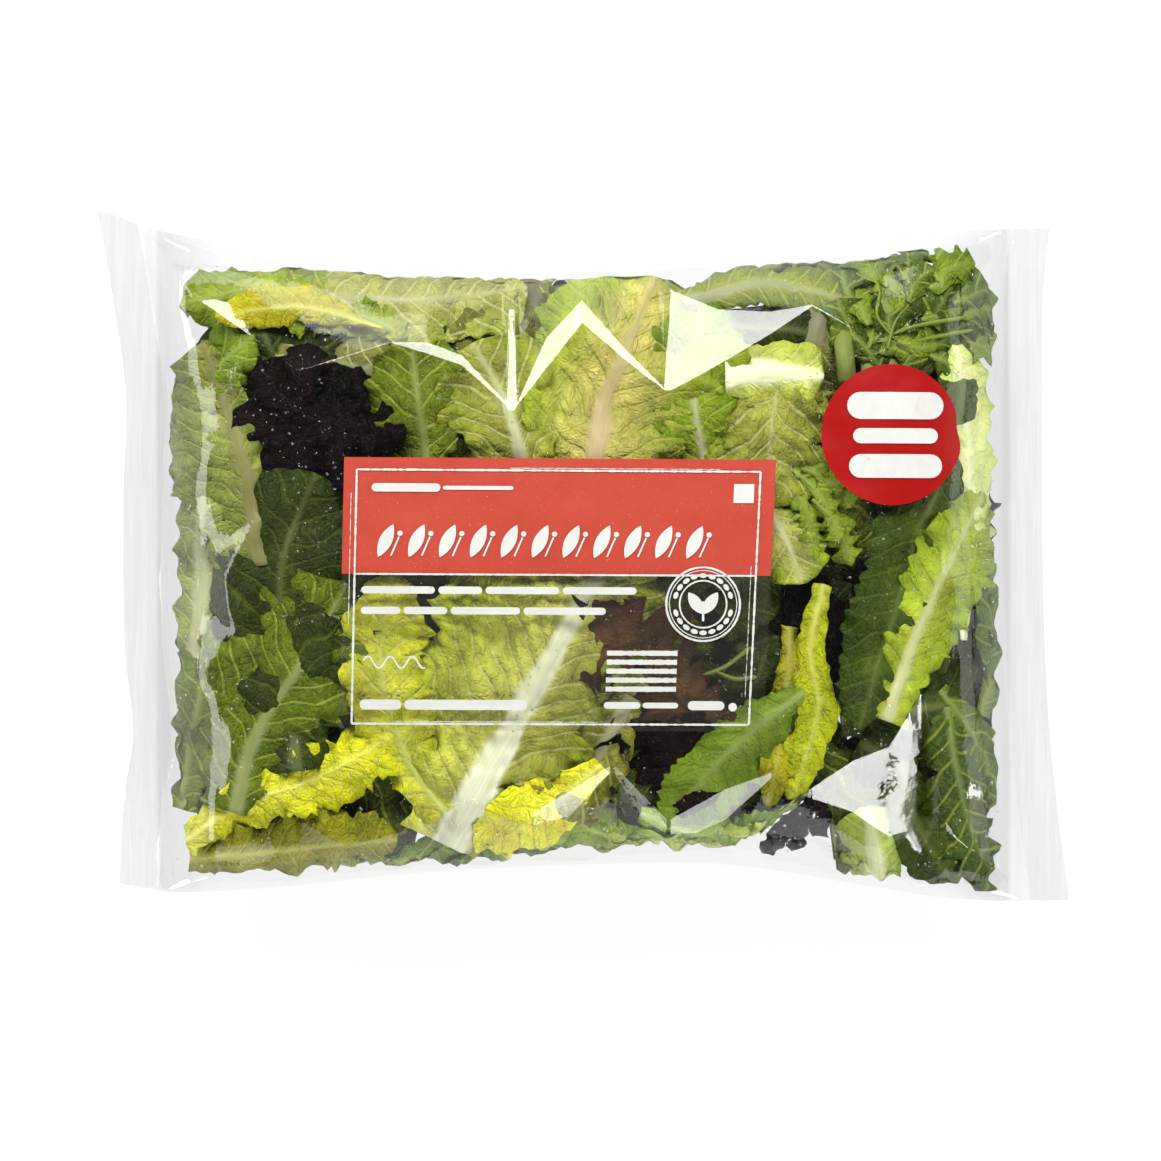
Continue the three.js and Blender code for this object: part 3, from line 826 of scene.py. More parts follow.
def shown_leaves():
    """The leaves that show through the upper film, placed from the photograph."""
    leaf("frilly", [(404, 336), (320, 300), (250, 290), (178, 306)], 38, 38, (5.0, 4.6), 1, rib=1.2,
         inner=(164, 180, 68), outer=(126, 150, 22), frill=0.2, lobes=0.2, ruffle=3.6, tone=1.35)
    leaf("yellow", [(384, 330), (300, 308), (216, 318)], 19, 24, (-0.6, -0.6), 2, ruffle=1.6, blister=1.0,
         base=0.1, tip=0.6, tone=1.3)
    leaf("frilly", [(196, 424), (216, 372), (256, 336)], 30, 28, (3.4, 3.0), 51, inner=(120, 148, 40),
         rib=0.9, tone=1.35)
    leaf("pale", [(322, 296), (420, 300), (528, 288)], 36, 46, (4.2, 3.6), 3, outer=(180, 190, 76), rib=1,
         base=0.8, tip=0.85, tone=0.92)
    leaf("romaine", [(262, 566), (250, 480), (224, 400), (203, 343)], 92, 24, (2.4, 2.0), 4,
         inner=(172, 180, 96), outer=(150, 164, 66), ribs=(184, 176, 118), rib=3.6, fade=0.15, blister=1.8,
         tone=0.92)
    leaf("pale", [(196, 740), (200, 610), (204, 470)], 30, 48, (6, 4.5), 5, inner=(178, 190, 112),
         outer=(158, 176, 84), tone=1.15)
    leaf("smooth", [(300, 770), (284, 650), (286, 560), (318, 474)], 70, 70, (2.2, 1.4), 6, tip=0.82,
         lobes=0.04, tone=0.72)
    leaf("frilly", [(236, 812), (258, 734), (300, 668), (350, 584)], 92, 60, (0.8, 2.2), 7, rib=2.8,
         ribs=(190, 198, 130), frill=0.12, tone=1.05)
    leaf("frilly", [(176, 810), (196, 720), (212, 630)], 34, 52, (3.0, 3.0), 8, tone=1.25)
    leaf("yellow", [(184, 842), (244, 804), (330, 772), (436, 708)], 32, 34, (0.9, 1.6), 9,
         inner=(204, 202, 48), outer=(192, 194, 18), frill=0.12, ruffle=3.4, tone=2.2)
    leaf("yellow", [(188, 860), (282, 850), (398, 838)], 36, 30, (3.2, 3.2), 10, inner=(156, 150, 28),
         outer=(128, 130, 14), frill=0.14, ruffle=3.4, tone=1.6)
    leaf("pale", [(448, 846), (494, 760), (556, 650), (622, 530)], 126, 88, (1.4, 2.0), 11, rib=6.8,
         base=0.4, inner=(200, 200, 96), outer=(176, 184, 40), ribs=(240, 238, 214), fade=0.12, ruffle=2.6,
         blister=2.2, right_shade=0.42, tone=1.75)
    leaf("pale", [(446, 812), (406, 752), (382, 660), (396, 574)], 40, 46, (0.9, 1.3), 12,
         inner=(204, 204, 64), rib=1.2, outer=(190, 192, 24), ribs=(206, 210, 120), frill=0.1, ruffle=3.0,
         tone=1.75)
    leaf("yellow", [(602, 764), (556, 798), (480, 856)], 36, 36, (-2.6, -2.6), 13, inner=(190, 182, 50),
         outer=(232, 210, 30), rib=0.5, frill=0.06, lobes=0.08, ruffle=2.0, base=0.3, tip=0.75, tone=2.8)
    leaf("pale", [(632, 696), (584, 772), (524, 838)], 38, 34, (3.2, 2.8), 14, inner=(180, 178, 76),
         outer=(146, 146, 30), rib=2.5, blister=2.6, ruffle=2.8, tone=0.95)
    leaf("frilly", [(430, 480), (420, 404), (412, 336)], 48, 48, (3.6, 2.6), 15, inner=(122, 138, 26),
         outer=(108, 128, 12), frill=0.1, tone=0.95)
    leaf("pale", [(528, 480), (508, 410), (474, 344)], 62, 56, (2.0, 1.6), 16, inner=(176, 178, 76),
         outer=(158, 168, 48), rib=2.6, tone=1.15)
    leaf("romaine", [(592, 486), (604, 404), (634, 332), (656, 276)], 92, 118, (1.2, 2.2), 17,
         inner=(204, 192, 108), outer=(150, 170, 30), ribs=(208, 180, 142), rib=4.2, base=0.6, ruffle=2.4,
         right_shade=0.18, tone=1.6)
    leaf("romaine", [(706, 480), (694, 402), (700, 296)], 50, 46, (3.4, 3.0), 18, rib=1.6,
         inner=(150, 174, 40), outer=(126, 154, 16), frill=0.08, tone=1.1)
    leaf("pale", [(724, 374), (770, 374), (822, 378)], 31, 29, (0.8, 1.0), 19, rib=6.2,
         ribs=(240, 236, 198), fade=0.1, inner=(200, 204, 122), outer=(172, 184, 70), base=0.85, tip=0.9,
         curl=3.5, ruffle=1.0, tone=2.0)
    leaf("pale", [(776, 384), (770, 430), (764, 506)], 60, 58, (2.2, 2.2), 20, base=0.9,
         inner=(172, 174, 74), outer=(142, 150, 36), rib=0, blister=2.4, ruffle=2.4, frill=0.09, tone=1.3)
    leaf("romaine", [(684, 304), (762, 284), (842, 300)], 28, 24, (2.0, 2.0), 21, rib=2.2,
         inner=(184, 194, 70), frill=0.1, tone=0.86)
    leaf("smooth", [(744, 276), (800, 256), (850, 280)], 20, 20, (4.6, 4.0), 22)
    # A deep leaf under the pale one, darkened to tone 0.6 as painted shade beneath it.
    leaf("smooth", [(690, 326), (770, 330), (840, 340)], 24, 20, (6, 6), 23, tone=0.6)
    leaf("toothed", [(968, 340), (952, 440), (914, 545), (856, 728)], 30, 48, (1.4, 0.9), 24, frill=0.08,
         tone=0.86)
    leaf("romaine", [(884, 720), (912, 640), (946, 566), (984, 492)], 38, 44, (1.2, 1.4), 25,
         inner=(180, 194, 62), outer=(146, 170, 30), rib=2.2, blister=2.4, frill=0.12, ruffle=2.8,
         tone=1.66)
    leaf("pale", [(962, 640), (968, 540), (967, 430), (956, 346)], 30, 34, (3.6, 2.6), 26,
         inner=(192, 204, 142), outer=(176, 192, 102), rib=1.4, base=0.12, frill=0.12, tone=2.6)
    leaf("frilly", [(984, 716), (1000, 650), (990, 560)], 22, 22, (2.4, 2.4), 46, inner=(116, 144, 40),
         outer=(92, 124, 16), rib=0.9, tone=1.1)
    leaf("romaine", [(946, 706), (956, 772), (974, 838), (1002, 892)], 34, 46, (1.6, 0.8), 27,
         inner=(80, 108, 34), outer=(62, 92, 14), ribs=(168, 188, 108), rib=1.1, frill=0.18, teeth=0.26,
         lobes=0.18, ruffle=2.6, base=0.5, tone=1.0)
    leaf("frilly", [(938, 690), (964, 722), (988, 764), (996, 812)], 24, 28, (2.0, 2.4), 28,
         inner=(116, 144, 40), outer=(92, 124, 16), rib=0.9, frill=0.14, tone=1.0)
    leaf("toothed", [(900, 760), (920, 830), (962, 896)], 34, 34, (3.0, 2.6), 29)
    leaf("pale", [(878, 894), (874, 852), (866, 806)], 33, 33, (1.8, 2.6), 30, rib=4.6,
         ribs=(222, 224, 178), fade=0.15, inner=(178, 194, 100), outer=(146, 170, 56), base=0.75, tip=0.8,
         curl=4.0, ruffle=1.0, tone=1.7)
    leaf("smooth", [(838, 716), (920, 708), (1000, 700)], 42, 46, (5.0, 5.0), 44, tone=0.8)
    leaf("yellow", [(822, 584), (808, 650), (816, 712), (790, 798)], 19, 21, (0.5, 0.8), 31, ruffle=2.2,
         inner=(196, 204, 40), outer=(186, 196, 14), tone=1.5)
    leaf("yellow", [(788, 626), (784, 700), (768, 806)], 16, 16, (2.2, 2.0), 32, tone=0.95)
    leaf("toothed", [(806, 690), (752, 728), (704, 776), (668, 826)], 44, 34, (0.8, 1.3), 33,
         inner=(118, 140, 42), outer=(102, 128, 20), teeth=0.16, frill=0.07, tip=0.8, tone=1.9)
    leaf("red", [(720, 748), (668, 690), (610, 646), (546, 660)], 40, 56, (1.4, 1.2), 34, ruffle=2.0,
         inner=(106, 74, 46), outer=(58, 34, 26), tone=1.6)
    leaf("red", [(704, 806), (676, 752), (640, 690)], 50, 52, (2.4, 2.8), 35)
    leaf("pale", [(810, 826), (720, 850), (612, 848)], 28, 26, (2.4, 2.6), 36, inner=(178, 190, 84),
         outer=(148, 172, 34), rib=1.5, frill=0.14, ruffle=2.8, tone=1.9)
    leaf("frilly", [(660, 860), (600, 834), (548, 794)], 32, 28, (3.0, 3.0), 37, inner=(140, 164, 48),
         frill=0.12, tone=2.1)
    leaf("frilly", [(640, 812), (690, 832), (742, 838), (796, 820)], 22, 24, (1.6, 1.8), 42,
         inner=(132, 160, 44), outer=(112, 146, 18), frill=0.16, rib=0.9, tone=1.8)
    leaf("frilly", [(386, 864), (446, 856), (508, 866)], 24, 20, (3.4, 3.4), 45, inner=(120, 150, 40),
         outer=(100, 134, 16), frill=0.16, rib=0.9, tone=1.4)
    leaf("frilly", [(700, 862), (650, 850), (590, 838), (540, 850)], 18, 22, (1.6, 2.2), 43,
         inner=(140, 166, 56), outer=(120, 152, 26), frill=0.16, rib=0.9, tone=1.9)
    leaf("pale", [(764, 506), (786, 545), (800, 584)], 34, 32, (1.8, 1.8), 38, outer=(160, 178, 30),
         rib=1.5, frill=0.12, tone=1.25)
    # A deep leaf under the label's left part, darkened to tone 0.7 as painted shade.
    leaf("smooth", [(352, 716), (366, 630), (384, 556)], 42, 38, (4.4, 4.0), 39, tone=0.7)
    leaf("smooth", [(640, 660), (704, 600), (776, 556)], 52, 52, (5.5, 5.0), 40, tone=0.7,
         inner=(100, 96, 36))
    for k, twig in enumerate([[(688, 676), (720, 668), (750, 646)], [(714, 670), (734, 678), (756, 676)]]):
        leaf("stem", twig, 2.2, 2.2, (0.8, 0.8), 47 + k, cell=1.1, ribs=(176, 186, 104), outer=(150, 166, 80))
    torn = [((814, 788), (804, 812), (794, 850)), ((808, 800), (788, 822), (764, 854)),
            ((812, 796), (822, 812), (812, 836))]
    for k, route in enumerate(torn):
        leaf("red", route, 10, 9, (2.4, 4.0), 60 + k, cell=1.1, loose=True, tip=0.9, tone=0.6)


def halfway(a, b):
    return ((a[0] + b[0]) / 2, (a[1] + b[1]) / 2)


CLUSTER_MIDDLE = (322, 424)
CLUSTER_REACH = (84, 76)
CLUSTER_LEAVES = 13


def red_cluster():
    """Tightly ruffled dark leaves that fan out in one bunch."""
    rng = np.random.default_rng(5)
    px, py = CLUSTER_MIDDLE
    for k in range(CLUSTER_LEAVES):
        angle = 2 * math.pi * k / CLUSTER_LEAVES + rng.uniform(-0.2, 0.2)
        reach = rng.uniform(0.75, 1.1)
        across, down = math.cos(angle), math.sin(angle)
        tip = (px + CLUSTER_REACH[0] * reach * across, py + CLUSTER_REACH[1] * reach * down)
        root = (px - 12 * across, py - 12 * down)
        bend = rng.uniform(-14, 14)
        middle = halfway(root, tip)
        half = (middle[0] - bend * down, middle[1] + bend * across)
        depths = (0.8 + 0.25 * k, 1.2 + 0.2 * (k % 5))
        leaf("red", [root, half, tip], 28, 28, depths, 80 + k, cell=1.4, tone=0.75)


# The bunch at the upper right, in photograph pixels: dark leaves behind, broad stems with their half width,
# and the tips of the deeply cut leaves. Then the sprigs beside the label.
BEHIND_BUNCH = [
    ((880, 372), (846, 320), (838, 262)), ((890, 372), (888, 310), (892, 250)),
    ((900, 370), (936, 312), (962, 266)), ((910, 366), (962, 326), (1000, 306)),
]
BROAD_STEMS = [
    ((846, 384), (842, 340), (846, 288), 10), ((888, 372), (884, 330), (892, 278), 12),
    ((866, 396), (866, 360), (858, 322), 8),
]
BUNCH_ROOT = (880, 352)
BUNCH_TIPS = [
    (842, 262), (866, 250), (892, 244), (922, 240), (950, 252), (976, 262), (992, 284), (1006, 306),
    (1004, 336), (972, 352), (940, 344), (914, 290), (836, 300), (880, 312), (962, 306), (934, 268),
    (990, 322), (856, 284), (828, 330), (906, 326),
]
CUT_LEAF_LENGTH = 44
SPRIGS = [
    ((792, 470), (838, 540)), ((800, 500), (864, 476)), ((786, 480), (812, 556)), ((800, 470), (850, 508)),
    ((810, 500), (850, 566)), ((800, 480), (828, 462)), ((790, 520), (826, 512)),
]


def feather_bunches():
    """Deeply cut leaves on thin pale stems, in the upper right bunch and as sprigs beside the label."""
    rng = np.random.default_rng(8)
    for k, route in enumerate(BEHIND_BUNCH):
        leaf("feather", route, 34, 34, (4.6, 3.0), 90 + k, cell=1.3, cuts=0.2, base=0.5,
             inner=(66, 92, 18), outer=(50, 76, 10))
    for k, (*route, half_width) in enumerate(BROAD_STEMS):
        leaf("stem", route, half_width, half_width, (2.6, 3.2), 120 + k, cell=1.3,
             ribs=(166, 178, 96), outer=(130, 152, 60))
    for k, tip in enumerate(BUNCH_TIPS):
        root = (BUNCH_ROOT[0] + rng.uniform(-16, 20), BUNCH_ROOT[1] + rng.uniform(-22, 12))
        length = max(48, math.hypot(tip[0] - root[0], tip[1] - root[1]))
        share = 1 - CUT_LEAF_LENGTH / length
        start = (mix(root[0], tip[0], share), mix(root[1], tip[1], share))
        half_x = mix(start[0], tip[0], 0.5) + rng.uniform(-12, 12)
        half = (half_x, mix(start[1], tip[1], 0.5) + rng.uniform(-9, 11))
        bright = dict(inner=(136, 162, 40), outer=(108, 138, 18))
        dark = dict(inner=(88, 114, 26), outer=(68, 96, 12))
        leaf("feather", [start, half, tip], 29, 27, (2.4, 0.8 + 0.14 * k), 100 + k, cell=1.0, cuts=0.52,
             teeth=0.22, tone=1.2, **(bright if k % 3 else dark))
        if k % 3 == 1:
            bend = (mix(root[0], start[0], 0.5) + rng.uniform(-14, 14), mix(root[1], start[1], 0.5))
            leaf("stem", [root, bend, start, half], 2.1, 2.1, (2.0, 1.4), 140 + k, cell=1.0,
                 ribs=(168, 188, 84), outer=(140, 166, 60))
    for k, (root, tip) in enumerate(SPRIGS):
        middle = halfway(root, tip)
        route = [root, (middle[0] + 5, middle[1] - 6), tip]
        leaf("feather", route, 18, 18, (1.4, 0.8 + 0.4 * k), 180 + k, cell=1.0, tone=1.2,
             inner=(160, 182, 60), outer=(128, 156, 24))


# The filling in layers: its depths, its count and rows of leaves, the half length and the width of a leaf in
# pixels, and its tone with the painted light that it catches at the film's wall. The low tones of the two
# middle layers are painted shade in the gaps between the shown leaves. The last two lie over the underside.
FILLING_KINDS = ["smooth", "romaine", "toothed", "frilly", "pale", "romaine", "red", "smooth"]
FILLING = [
    dict(floor=False, depths=(7, 10), count=36, across=4, reach=(60, 90), width=(52, 74), tone=0.45,
         wall_light=1.6),
    dict(floor=False, depths=(10, 14), count=28, across=4, reach=(60, 90), width=(52, 74), tone=0.35,
         wall_light=2.2),
    dict(floor=True, depths=(0.5, 2.5), count=26, across=4, reach=(50, 78), width=(38, 60), tone=0.95,
         wall_light=0.4),
    dict(floor=True, depths=(5, 9), count=18, across=3, reach=(50, 78), width=(38, 60), tone=0.8,
         wall_light=0.6),
]


def filling_leaves():
    """Leaves behind the shown ones: two loose layers in the middle and two over the underside."""
    rng = np.random.default_rng(21)
    for number, layer in enumerate(FILLING):
        across, count = layer["across"], layer["count"]
        for k in range(count):
            column, row = divmod(k, across)
            px = mix(215, 962, (column + 0.5) / math.ceil(count / across)) + rng.uniform(-22, 22)
            spread = 20 * abs(px - 580) / 400
            py = mix(300 - spread, 850 + spread, (row + 0.5) / across) + rng.uniform(-22, 22)
            angle = rng.uniform(0, 2 * math.pi)
            reach = rng.uniform(*layer["reach"])
            root = (px - reach * math.cos(angle), py - reach * math.sin(angle))
            tip = (px + reach * math.cos(angle), py + reach * math.sin(angle))
            bend = rng.uniform(-20, 20)
            half = (px - bend * math.sin(angle), py + bend * math.cos(angle))
            width = rng.uniform(*layer["width"])
            kind = FILLING_KINDS[(k * 5 + number) % len(FILLING_KINDS)]
            depth = (rng.uniform(*layer["depths"]), rng.uniform(*layer["depths"]))
            # The layer's tone darkens the middle layers as painted shade, and wall_light adds painted light
            # at the film's wall.
            leaf(kind, [root, half, tip], width, width, depth, 200 + 50 * number + k, cell=2.6,
                 floor=layer["floor"], tone=layer["tone"], wall_light=layer["wall_light"])


def join_leaves():
    """One mesh for each group of leaves."""
    for slot, built in groups.items():
        faces = []
        offset = 0
        for points, triangles, *_ in built:
            faces.append(triangles + offset)
            offset += len(points)
        points = np.concatenate([one[0] for one in built])
        # A leaf's values are kept for its upper points, and its lower ones have the same.
        tints, rib_tints, ribs, uvs = (
            np.concatenate([np.concatenate([one[k]] * 2) for one in built]) for k in (2, 3, 4, 5)
        )
        attributes = {"tint": tints, "rib_tint": rib_tints, "rib": ribs}
        material = leaf_material(slot, **LEAF_LOOKS[slot])
        piece = make_mesh(LEAF_NAMES[slot], points, np.concatenate(faces), material, attributes, uvs)
        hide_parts("bag")


# The film.

# Stations along the film: their spacing, how far in from the crimps the extra ones are, and a crimp's count.
FILM_STATION_GAP = 1.7
FILM_END_STATIONS = (0.25, 0.6, 1.1, 1.8, 2.7, 3.8)
SEAL_STATIONS = 30
LEAST_STATION_GAP = 0.05
# Rows of points across it.
FACE_ROWS = 90
FACET_ROWS = 6
SHOULDER_ROWS = 20
UNDERSIDE_ROWS = 72
# The crimps' ribs, how far in they are full, and two waves across with their heights and lengths.
SEAL_RIBS = 8
SEAL_RIB_HEIGHT = 0.12
SEAL_BLEND = 2
SEAL_WAVES = ((0.8, 17), (0.4, 7.3))
# Stations with a hard fold down the near side.
FOLD_STATIONS = (108, 119.5, 127.5)


def film_stations():
    """Stations through every corner of the rims, closer at the ends and in the crimps."""
    corners = sorted({row[0] for row in FAR_RIM + NEAR_RIM})
    body = []
    for x, after in zip(corners, corners[1:]):
        steps = max(1, round((after - x) / FILM_STATION_GAP))
        body += [x + (after - x) * k / steps for k in range(steps)]
    body.append(corners[-1])
    outer = [BODY_HALF - inward for inward in FILM_END_STATIONS]
    outer += [BODY_HALF + SEAL_WIDTH * (k + 1) / SEAL_STATIONS for k in range(SEAL_STATIONS)]
    every = sorted(body + outer + [-x for x in outer])
    return [x for x, before in zip(every, [-1e9] + every) if x - before > LEAST_STATION_GAP]


def side_rows(x, side):
    """One side of a station: where its rim is, and the rows of its facet and shoulder going out."""
    start, facet_end, edge, facet_z, edge_z = (float(v) for v in rim_rows(x, side))
    share = np.linspace(0, 1, SHOULDER_ROWS + 1)
    out = mix(facet_end, edge, 1 - (1 - share) ** SHOULDER_SPACING)
    z = mix(facet_z, edge_z, 1 - (1 - share) ** SHOULDER_ROUNDING)
    facet = np.linspace(0, 1, FACET_ROWS + 1)[:-1]
    facet_y = mix(start, facet_end, facet)
    facet_heights = mix(float(face_height(x, start)), facet_z, facet)
    return start, side * np.concatenate([facet_y, out]), np.concatenate([facet_heights, z])


def film_ring(x):
    """One station's points, from the far edge over the shown side to the near edge and back below."""
    far_start, far_y, far_z = side_rows(x, 1)
    near_start, near_y, near_z = side_rows(x, -1)
    face_y = np.linspace(far_start, -near_start, FACE_ROWS + 1)[1:-1]
    across = -np.cos(np.pi * np.arange(1, UNDERSIDE_ROWS) / UNDERSIDE_ROWS)
    under_y = mix(-edge_out(x, -1), edge_out(x, 1), (across + 1) / 2)
    middle = edge_height(x, under_y)
    under_z = np.minimum(middle - SEAL_THICKNESS / 2, middle * (1 - base_drop(x, across)))
    y = np.concatenate([far_y[::-1], face_y, near_y, under_y])
    z = np.concatenate([far_z[::-1], face_height(x, face_y), near_z, np.maximum(0, under_z)])
    on_top = np.arange(len(y)) < len(y) - len(under_y)
    return y, z, on_top


def sharpen_creases(mesh, stations, size):
    """Hard edges along both sides of the rims' facets, and down the folds between the last near facets."""
    side = FACET_ROWS + SHOULDER_ROWS
    far_start, near_start = side, side + FACE_ROWS
    rows = [far_start - FACET_ROWS, far_start, near_start, near_start + FACET_ROWS]
    ends = np.empty(len(mesh.edges) * 2, np.int32)
    mesh.edges.foreach_get("vertices", ends)
    ring, row = np.divmod(ends.reshape(-1, 2), size)
    place = stations[ring]
    along = (np.abs(ring[:, 0] - ring[:, 1]) == 1) & (row[:, 0] == row[:, 1]) & np.isin(row[:, 0], rows)
    body = np.abs(place).max(1) < BODY_HALF - 3
    on_fold = np.isin(place, FOLD_STATIONS).all(1) & (ring[:, 0] == ring[:, 1])
    on_fold &= (row.min(1) >= near_start) & (row.max(1) < near_start + side)
    layer = mesh.attributes.new("sharp_edge", "BOOLEAN", "EDGE")
    layer.data.foreach_set("value", (along & body) | on_fold)


def build_film(material):
    """The film tube with its crimped ends."""
    rings = []
    stations = film_stations()
    for x in stations:
        y, z, on_top = film_ring(x)
        px = station_x(np.full(len(y), float(x)), y)
        beyond = abs(x) - BODY_HALF
        if beyond < 0:
            z = np.where(on_top, z + film_relief(np.full(len(y), x), px, y), z)
        else:
            into = min(1, beyond / SEAL_BLEND)
            rib = SEAL_RIB_HEIGHT * math.cos(2 * math.pi * SEAL_RIBS * beyond / SEAL_WIDTH) * into
            (broad, broad_length), (fine, fine_length) = SEAL_WAVES
            sway = broad * np.sin(y / broad_length + np.sign(x)) * into
            sway = sway + fine * np.sin(y / fine_length) * into
            gap = mix(SEAL_THICKNESS, FILM_GAP_IN_SEAL, into) / 2
            z = seal_height(y) + rib + sway + np.where(on_top, gap, -gap)
        rings.append(np.stack([px, y, z], 1))
    size = len(rings[0])
    i, k = np.meshgrid(np.arange(len(rings) - 1), np.arange(size), indexing="ij")
    a = (i * size + k).ravel()
    b = (i * size + (k + 1) % size).ravel()
    triangles = np.concatenate([np.stack([a, b, b + size], 1), np.stack([a, b + size, a + size], 1)])
    film = make_mesh("film", np.concatenate(rings), triangles, material)
    sharpen_creases(film.data, np.array(stations), size)
    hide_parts("bag")


# The label and the sticker.

# How far each sheet lies off the film, in millimetres.
LABEL_GAP = 0.45
INK_GAP = 0.78
# The label's size and the spacing of its points in millimetres, and where its red field starts.
LABEL_SIZE = (152, 96)
LABEL_CELL = 1.6
RED_START = 0.573
STROKE_CELL = 0.8


def draped(name, plan_points, triangles, gap, material):
    """A flat shape in plan, laid on the film at a small gap."""
    p = np.asarray(plan_points, float)
    z = film_top(p[:, 0], p[:, 1]) + gap
    piece = make_mesh(name, np.column_stack([p, z]), triangles, material)
    return piece


def label_place(u, v):
    """A place on the label, from 0 to 1 along it and up it."""
    c = {key: np.array(value, float) for key, value in LABEL_CORNERS.items()}
    u, v = np.asarray(u, float)[..., None], np.asarray(v, float)[..., None]
    return mix(mix(c["near_left"], c["near_right"], u), mix(c["far_left"], c["far_right"], u), v)


def label_patch(u0, u1, v0, v1):
    """A grid over a part of the label."""
    rows = max(2, int((u1 - u0) * LABEL_SIZE[0] / LABEL_CELL) + 1)
    columns = max(2, int((v1 - v0) * LABEL_SIZE[1] / LABEL_CELL) + 1)
    u, v = np.meshgrid(np.linspace(u0, u1, rows), np.linspace(v0, v1, columns), indexing="ij")
    return label_place(u, v).reshape(-1, 2), grid_triangles(rows, columns)


def gather(parts):
    """Several plan shapes as one set of points and triangles."""
    points, faces, offset = [], [], 0
    for p, t in parts:
        points.append(p)
        faces.append(np.asarray(t) + offset)
        offset += len(p)
    return np.concatenate(points), np.concatenate(faces)


def ribbon(middle, normal, half):
    """A flat strip to both sides of a line of places."""
    reach = normal * half[:, None]
    return np.stack([middle - reach, middle + reach], 1).reshape(-1, 2), grid_triangles(len(middle), 2)


def stroke(points, width, seed=0, wear=0.0):
    """A printed line of even width through plan places, thinned here and there where it is worn."""
    run = np.concatenate([[0], np.cumsum(np.hypot(*np.diff(points, axis=0).T))])
    count = max(3, int(run[-1] / STROKE_CELL))
    at = np.linspace(0, run[-1], count)
    x, y = (np.interp(at, run, points[:, k]) for k in (0, 1))
    tangent = np.gradient(np.stack([x, y], 1), axis=0)
    tangent /= np.linalg.norm(tangent, axis=1)[:, None] + 1e-9
    normal = np.stack([-tangent[:, 1], tangent[:, 0]], 1)
    rng = np.random.default_rng(seed)
    half = width / 2 * (1 - wear * rng.uniform(0, 1, count) ** 2)
    return ribbon(np.stack([x, y], 1), normal, half)


def disc(middle, radius, steps, squash=1.0, turn=0.0):
    """A round or oval spot, as a fan around its middle."""
    angle = np.linspace(0, 2 * np.pi, steps, endpoint=False)
    ring = np.stack([radius * np.cos(angle), radius * squash * np.sin(angle)], 1)
    ring = ring @ np.array([[math.cos(turn), math.sin(turn)], [-math.sin(turn), math.cos(turn)]])
    points = np.concatenate([[middle], middle + ring])
    k = np.arange(steps)
    return points, np.stack([np.zeros(steps, int), 1 + k, 1 + (k + 1) % steps], 1)


def leaf_shape(root, tip, width, steps=14):
    """A pointed oval, as a printed leaf."""
    root, tip = np.array(root, float), np.array(tip, float)
    along = tip - root
    normal = np.array([-along[1], along[0]]) / np.linalg.norm(along)
    t = np.linspace(0, 1, steps)
    half = width / 2 * np.sin(np.pi * t) ** 0.8
    return ribbon(root + along * t[:, None], normal, half)


def rounded(ends, height, steps):
    """A straight bar with round ends."""
    return gather([stroke(ends, height)] + [disc(end, height / 2, steps) for end in ends])


def bar(u0, u1, v, height):
    """A plain bar on the label that stands for a line of small print."""
    return rounded(label_place([u0, u1], [v, v]), height, 14)


def rule(start, end, width, seed=0, wear=0.0):
    """A straight printed line between two places on the label."""
    return stroke(label_place(*zip(start, end)), width, seed, wear)


# Places on the label, from 0 to 1 along it and up it. A bar is its two ends, its height there, and its
# thickness in millimetres.
FRAME_U = (0.03, 0.965)
FRAME_V = (0.025, 0.955)
TITLE_BARS = [(0.075, 0.215, 0.89, 3.0), (0.235, 0.39, 0.89, 1.4)]
TITLE_BLOCK = (0.905, 0.952, 0.84, 0.91)
LEAF_ROW = (0.06, 0.85)
PRINTED_LEAVES = 11
TEXT_BARS = [
    (0.055, 0.21, 0.515, 2.6), (0.235, 0.32, 0.515, 2.6), (0.345, 0.50, 0.515, 2.6),
    (0.525, 0.68, 0.515, 2.6), (0.055, 0.13, 0.44, 2.6), (0.155, 0.24, 0.44, 2.6),
    (0.265, 0.41, 0.44, 2.6), (0.435, 0.61, 0.44, 2.6),
]
FOOT_BARS = [(0.06, 0.135, 0.095, 3.6), (0.165, 0.43, 0.095, 3.6)]
CORNER_BARS = [(0.63, 0.70, 0.095, 2.4), (0.72, 0.79, 0.095, 2.0), (0.83, 0.895, 0.095, 3.2)]
STRIPES = 5
EMBLEM_MIDDLE = (0.845, 0.468)
# Radius and width of the emblem's rings, and where its spots are, in millimetres.
EMBLEM_RINGS = ((13.0, 0.8), (11.9, 0.35), (8.3, 0.6))
EMBLEM_SPOTS = 20
SPOT_RADIUS = 10.1


def printed_frame():
    """A worn line around the label with a thin one inside it, and one under the red field."""
    (u0, u1), (v0, v1) = FRAME_U, FRAME_V
    corners = [(u0, v0), (u1, v0), (u1, v1), (u0, v1)]
    parts = []
    for k, (a, b) in enumerate(zip(corners, corners[1:] + corners[:1])):
        parts.append(rule(a, b, 0.85, 30 + k, 0.55))
        shift = 0.012 if k % 2 else 0.0
        inner = [(mix(a[0], b[0], share) - shift, mix(a[1], b[1], share) + 0.008) for share in (0.1, 0.62)]
        parts.append(rule(*inner, 0.3, 40 + k, 0.9))
    parts.append(rule((u0, RED_START), (u1, RED_START), 0.75, 50, 0.35))
    return parts


def printed_leaves():
    """A row of leaves, each with a thin stalk and a dot beside it."""
    parts = []
    for k in range(PRINTED_LEAVES):
        u = mix(*LEAF_ROW, (k + 0.5) / PRINTED_LEAVES)
        parts.append(leaf_shape(label_place(u - 0.012, 0.635), label_place(u + 0.022, 0.755), 4.6))
        parts.append(rule((u + 0.018, 0.64), (u + 0.036, 0.71), 0.6))
        parts.append(disc(label_place(u + 0.038, 0.722), 0.95, 14))
    return parts


